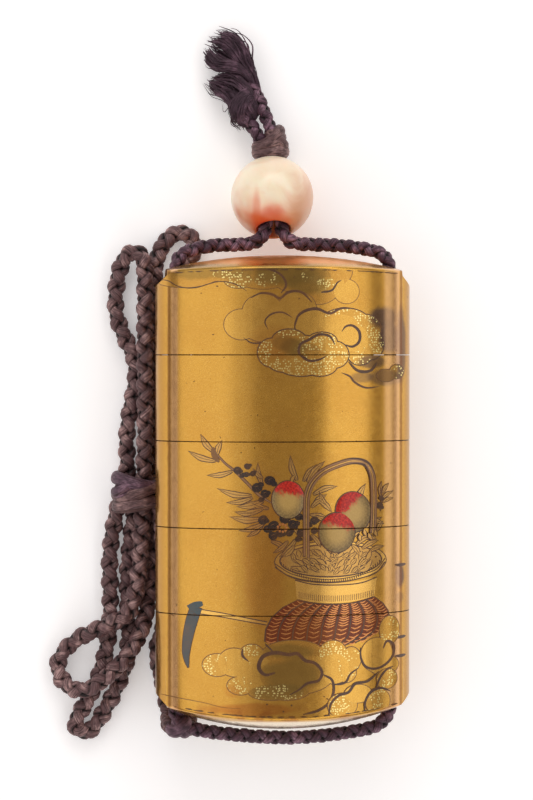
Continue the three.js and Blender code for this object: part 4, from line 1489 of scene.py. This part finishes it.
def draw_basket(p, rng):
    p.cloud([(331, 561, 57, 20, "collar")], 0, 1.0, "ink")
    p.disc(MOUTH, (53, 17), "ink", 2)
    p.disc(MOUTH, (51.5, 15.5), "leaf", 3)
    draw_mouth_leaves(p, rng)
    p.stroke(RIM, 1.1, "ink", 8, BLUNT)
    p.stroke([(x, y - RIM_DOWN) for x, y in RIM], 0.8, "ink", 8, BLUNT)
    for i in range(RIM_TICKS):
        share = (i + 0.5) / RIM_TICKS
        x = 279 + 103 * share
        y = 582 - 19 * abs(2 * share - 1) ** 2.4
        p.stroke([(x, y - 3.0), (x + 0.4, y - 0.2)], 0.7, "ink", 8, BLUNT)
    p.panel(COLLAR, "collar", 2)
    for i in range(COLLAR_TICKS):
        x = 297 + 78 * (i + 0.5) / COLLAR_TICKS
        sag = 5 * (1 - ((x - 336) / 41) ** 2)
        p.stroke([(x, 590 + sag), (x, 596 + sag)], 0.6, "soft_ink", 4, BLUNT)
    for points, width in COLLAR_LINES:
        p.stroke(points, width, "ink", 4, BLUNT)
    p.panel(BODY, "ink", 1, across=30)
    inner = [((x0 + 1.4, y0), (x1 - 1.4, y1), sag) for (x0, y0), (x1, y1), sag in BODY]
    p.panel(inner, "wicker", 2, across=30)
    draw_plait(p, rng)


def draw_peach(p, name, level):
    at, radii, turn, _ = PEACHES[name]
    p.disc(at, (radii[0] + 1.0, radii[1] + 1.0), "ink", level, turn)
    p.mound(at, radii, name, level + 1, turn, PEACH_HEIGHT)


HANDLE = [
    (305, 556), (305, 535), (305, 510), (306, 494), (311, 482), (321, 472), (336, 465), (353, 461),
    (366, 464), (372, 474), (374, 490), (374, 512), (373, 534),
]
# Leaves of the fruit and the branch: base, tip and width
FRUIT_LEAVES = (
    ((296, 480), (289, 455), 5), ((306, 482), (324, 461), 5), ((312, 494), (337, 486), 5),
    ((318, 500), (331, 512), 5), ((312, 505), (326, 494), 5), ((358, 502), (366, 484), 5),
    ((262, 486), (257, 462), 4), ((314, 516), (330, 524), 4), ((284, 516), (300, 540), 4),
    ((350, 540), (366, 526), 4), ((378, 532), (385, 522), 4), ((364, 538), (378, 540), 4),
    ((270, 540), (286, 549), 4), ((345, 545), (330, 553), 5), ((352, 545), (360, 556), 5),
    ((293, 545), (281, 556), 5), ((263, 500), (236, 506), 6), ((262, 508), (240, 512), 5),
    ((262, 518), (229, 516), 6), ((264, 522), (238, 530), 5), ((251, 495), (217, 488), 5.5),
    ((252, 497), (226, 502), 4.5), ((232, 471), (207, 475), 4.5), ((216, 461), (189, 451), 5),
    ((214, 452), (201, 434), 5), ((217, 455), (222, 440), 4.5), ((295, 538), (278, 556), 4.5),
    ((287, 540), (272, 552), 4), ((310, 534), (320, 547), 4), ((329, 509), (318, 491), 4),
    ((309, 514), (328, 519), 4), ((310, 507), (323, 498), 4), ((302, 481), (316, 464), 4),
    ((367, 520), (386, 525), 4), ((366, 528), (384, 518), 4), ((356, 545), (373, 535), 4.5),
    ((362, 549), (380, 541), 4.5), ((370, 552), (386, 547), 4), ((262, 524), (246, 536), 4),
    ((255, 512), (234, 511), 4), ((268, 508), (246, 499), 4), ((262, 478), (252, 468), 3.5),
)
BRANCH = [(270, 502), (258, 494), (246, 482), (235, 471), (224, 462), (214, 450)]
PEACH_FOLD = [(333, 514), (343, 517), (350, 523), (354, 532), (353, 541)]
# Berries: place and radius
BERRIES = (
    (237, 470, 4.2), (247, 466, 3.4), (241, 475, 2.6), (269, 480, 5.6), (256, 487, 5.4), (264, 493, 4.6),
    (260, 499, 3.0), (262, 519, 5.0), (272, 525, 5.8), (283, 518, 5.2), (292, 524, 5.4), (272, 535, 4.6),
    (301, 532, 5.2), (298, 516, 4.4), (313, 520, 4.4), (266, 528, 4.0), (279, 532, 4.6), (288, 532, 4.0),
    (306, 524, 4.2), (307, 537, 3.6), (289, 514, 3.4), (252, 473, 3.0), (246, 474, 3.2), (313, 530, 3.6),
    (297, 538, 3.4), (381, 506, 3.6), (382, 499, 3.0),
)
FLOWER = (281, 527)
PETALS = 9
SPRIG = (
    ((383, 500), (396, 492)), ((382, 497), (383, 482)), ((384, 503), (396, 499)),
    ((384, 494), (391, 484)), ((382, 510), (377, 500)),
)
HANDLE_FOOT_LEAVES = ((366, 536), (372, 540), (360, 541), (377, 537))


def draw_berry(p, rng, x, y, size):
    """A dark berry with a smaller lobe at its side and a glint."""
    place = (x + rng.uniform(-0.5, 0.5), y)
    radii = (size, size * rng.uniform(0.8, 0.95))
    p.disc(place, radii, "black", 12, rng.uniform(-40, 40), points=14)
    lobe = (x + size * 0.7, y + size * rng.uniform(-0.7, 0.7))
    p.disc(lobe, (size * 0.6, size * 0.5), "black", 12, points=9)
    glint = [(x - size * 0.4, y - size * 0.1), (x + size * 0.3, y - size * 0.4)]
    p.stroke(glint, 0.45, "soft_ink", 13)


def draw_fruit(p, rng):
    for i, (base, tip, width) in enumerate(FRUIT_LEAVES):
        p.leaf(base, tip, width, 5 + i % 2 * 2)
    p.stroke(BRANCH, (3.2, 3.0, 1.8), "ink", 9)
    p.stroke(BRANCH, (1.6, 1.6, 0.8), "stem", 10)
    p.stroke([(213, 447), (215, 456), (219, 462)], (4.0, 6.0, 3.0), "soft_ink", 9)
    draw_peach(p, "peach_left", 11)
    draw_peach(p, "peach_back", 11)
    draw_peach(p, "peach_front", 24)
    p.stroke(PEACH_FOLD, (1.6, 2.0, 1.2), "ink", 24)
    p.leaf((290, 482), (294, 474), 3.0, 10, vein=False)
    for x, y, size in BERRIES:
        draw_berry(p, rng, x, y, size)
    for i in range(PETALS):
        angle = i * 2 * math.pi / PETALS
        petal = (FLOWER[0] + 4.4 * math.cos(angle), FLOWER[1] + 3.8 * math.sin(angle))
        p.disc(petal, (1.3, 1.3), "cane", 13, points=8)
    for base, tip in SPRIG:
        p.leaf(base, tip, 3.2, 8)
    p.stroke([(382, 512), (383, 498), (382, 488)], 1.4, "ink", 10)
    p.stroke(HANDLE, 6.6, "ink", 22, BLUNT)
    for dx, dy, width, ink in ((-2.0, -1.2, 1.3, "stem"), (0, 0, 1.2, "leaf"), (2.0, 1.2, 1.3, "stem")):
        p.stroke([(x + dx, y + dy) for x, y in HANDLE], width, ink, 23, BLUNT)
    for x, y in HANDLE_FOOT_LEAVES:
        p.leaf((x, y), (x + rng.uniform(-5, 5), y - 7), 3.0, 25, vein=False)


# Hoe: points, width along it, ink, level and how blunt its ends are
SHAFT = [(200, 611), (222, 614), (244, 618), (266, 622)]
BLADE_EDGE = [(197, 606), (192, 622), (188, 642), (187, 656), (189, 668)]
BLADE = [(197, 607), (192, 622), (188, 642), (187, 656), (189, 667)]
HOE = (
    (SHAFT, (5.4, 4.8, 4.2), "ink", 0, BLUNT),
    (SHAFT, (3.6, 2.8, 2.0), "collar", 1, BLUNT),
    (BLADE_EDGE, (12.0, 12.0, 10.6, 8.2, 3.0), "ink", 2, (1, 0.6)),
    (BLADE, (10.8, 10.8, 9.4, 7.0, 1.8), "blade", 3, (1, 0.6)),
    ([(190, 609), (196, 605), (203, 603)], (8.0, 7.0, 5.0), "blade", 4, (1, 0.8)),
)


def draw_hoe(p):
    for stroke in HOE:
        p.stroke(*stroke)


# Wear: an end, which way it faces, how many places for nicks along its rim and how many stay whole
NICKED_RIMS = ((CROWN, CROWN_Y, 1, 46, 0.3), (FOOT, FOOT_Y, -1, 40, 0.35))
NICKS_FROM = -20.5
NICKS_LONG = 41
FOOT_CRACK = [(163, 697), (182, 699), (204, 702), (222, 706), (240, 707)]
SIDE_CRACK = [(158, 616), (170, 615), (176, 617)]
PITS = 16


def draw_wear(p, rng):
    """Dark nicks along the rims, two fine cracks at the foot and the left, and small pits."""
    for end, middle, side, count, whole in NICKED_RIMS:
        for i in range(count):
            if rng.random() < whole:
                continue
            start = NICKS_FROM + NICKS_LONG * (i + rng.uniform(-0.3, 0.3)) / count
            points = []
            for k in range(4):
                x = start + k * NICKS_LONG / count / 2.6
                y = rim_limit(x, end, middle, side) - side * rng.uniform(0.0, 0.12)
                points.append((x / SHEET_UNIT + SHEET_MIDDLE[0], SHEET_MIDDLE[1] - y / SHEET_UNIT))
            p.stroke(points, rng.uniform(0.7, 1.7), "ink", 14, (0.2, 0.2))
    p.stroke(FOOT_CRACK, (0.8, 0.5, 0.3), "soft_ink", 5)
    p.stroke(SIDE_CRACK, 0.6, "soft_ink", 5)
    for i in range(PITS):
        x = rng.uniform(175, 395)
        y = rng.choice((rng.uniform(272, 300), rng.uniform(690, 710), rng.uniform(320, 680)))
        p.disc((x, y), (rng.uniform(0.4, 1.1), rng.uniform(0.4, 0.9)), "ink", 16, points=7)


def make_picture():
    """Draw the picture and share it out among the lid and the cases, cut at the seams."""
    rng = random.Random(5)
    p = Picture()
    draw_clouds(p)
    draw_hoe(p)
    draw_basket(p, rng)
    draw_fruit(p, rng)
    draw_wear(p, rng)
    spans = [CROWN_Y] + SEAMS + [FOOT_Y]
    names = ["lid"] + [f"case_{k + 1}" for k in range(MIDDLE_CASES + 1)]
    for name, high, low in zip(names, spans, spans[1:]):
        bm = p.sheet.copy()
        gone = [f for f in bm.faces if not low < f.calc_center_median().y < high]
        bmesh.ops.delete(bm, geom=gone, context="FACES")
        piece = add_object(f"{name}_picture", bm, INKS[INK_ORDER[0]])
        for ink in INK_ORDER[1:]:
            piece.data.materials.append(INKS[ink])
        piece.data.set_sharp_from_angle(angle=math.radians(35))
    p.sheet.free()


# Studio
def area_light(name, place, aim, size, power):
    data = bpy.data.lights.new(name, "AREA")
    data.shape = "RECTANGLE"
    data.size, data.size_y = size
    data.energy = power
    light = bpy.data.objects.new(name, data)
    light.location = place
    light.rotation_euler = (Vector(aim) - Vector(place)).to_track_quat("-Z", "Y").to_euler()
    bpy.context.scene.collection.objects.link(light)


# What the lights aim at, in metres, and the size and place of the soft boxes beside the case
LIGHT_AIM = (0, 0, 0.012)
BOX_AWAY = 0.6
BOX_LONG = 1.1
# Soft boxes: angle from straight above towards the right, half spread in degrees, and radiance
SOFTBOXES = {
    "left_softbox": (-47, 24, 0.82),
    "left_edge": (-18, 5.0, 0.4),
    "right_softbox": (37.5, 14.5, 0.97),
    "right_edge": (73, 6, 0.75),
}


def softbox(name, angle, spread, radiance):
    """A long light beside the case, as wide as its spread asks."""
    wide = 2 * BOX_AWAY * math.tan(math.radians(spread))
    turn = math.radians(angle)
    place = (BOX_AWAY * math.sin(turn), 0.0, BOX_AWAY * math.cos(turn))
    area_light(name, place, LIGHT_AIM, (BOX_LONG, wide), radiance * math.pi * wide * BOX_LONG)


def make_studio():
    scene = bpy.context.scene
    scene.view_settings.view_transform = "Standard"
    world = bpy.data.worlds.new("studio")
    world.use_nodes = True
    background = world.node_tree.nodes["Background"]
    background.inputs["Color"].default_value = (1, 0.86, 0.82, 1)
    background.inputs["Strength"].default_value = 0.3
    scene.world = world
    bm = bmesh.new()
    bmesh.ops.create_grid(bm, x_segments=1, y_segments=1, size=1500)
    bmesh.ops.scale(bm, vec=(MM, MM, MM), verts=bm.verts)
    mesh = bpy.data.meshes.new("floor")
    bm.to_mesh(mesh)
    bm.free()
    floor = bpy.data.objects.new("floor", mesh)
    scene.collection.objects.link(floor)
    material, shader, _ = new_material("floor_paper")
    set_plain(shader, {
        "Base Color": (0.93, 0.93, 0.93, 1),
        "Roughness": 0.9,
        "Emission Color": (1, 1, 1, 1),
        "Emission Strength": 0.26,
    })
    mesh.materials.append(material)
    for name, (angle, spread, radiance) in SOFTBOXES.items():
        softbox(name, angle, spread, radiance)
    area_light("far_light", (0.0, 0.62, 0.42), (0, 0.0, 0.01), (0.7, 0.4), 1.9)
    area_light("near_light", (0.0, -0.62, 0.42), (0, 0.0, 0.01), (0.7, 0.4), 0.9)


make_camera()
make_cords()
make_case()
make_picture()
make_studio()
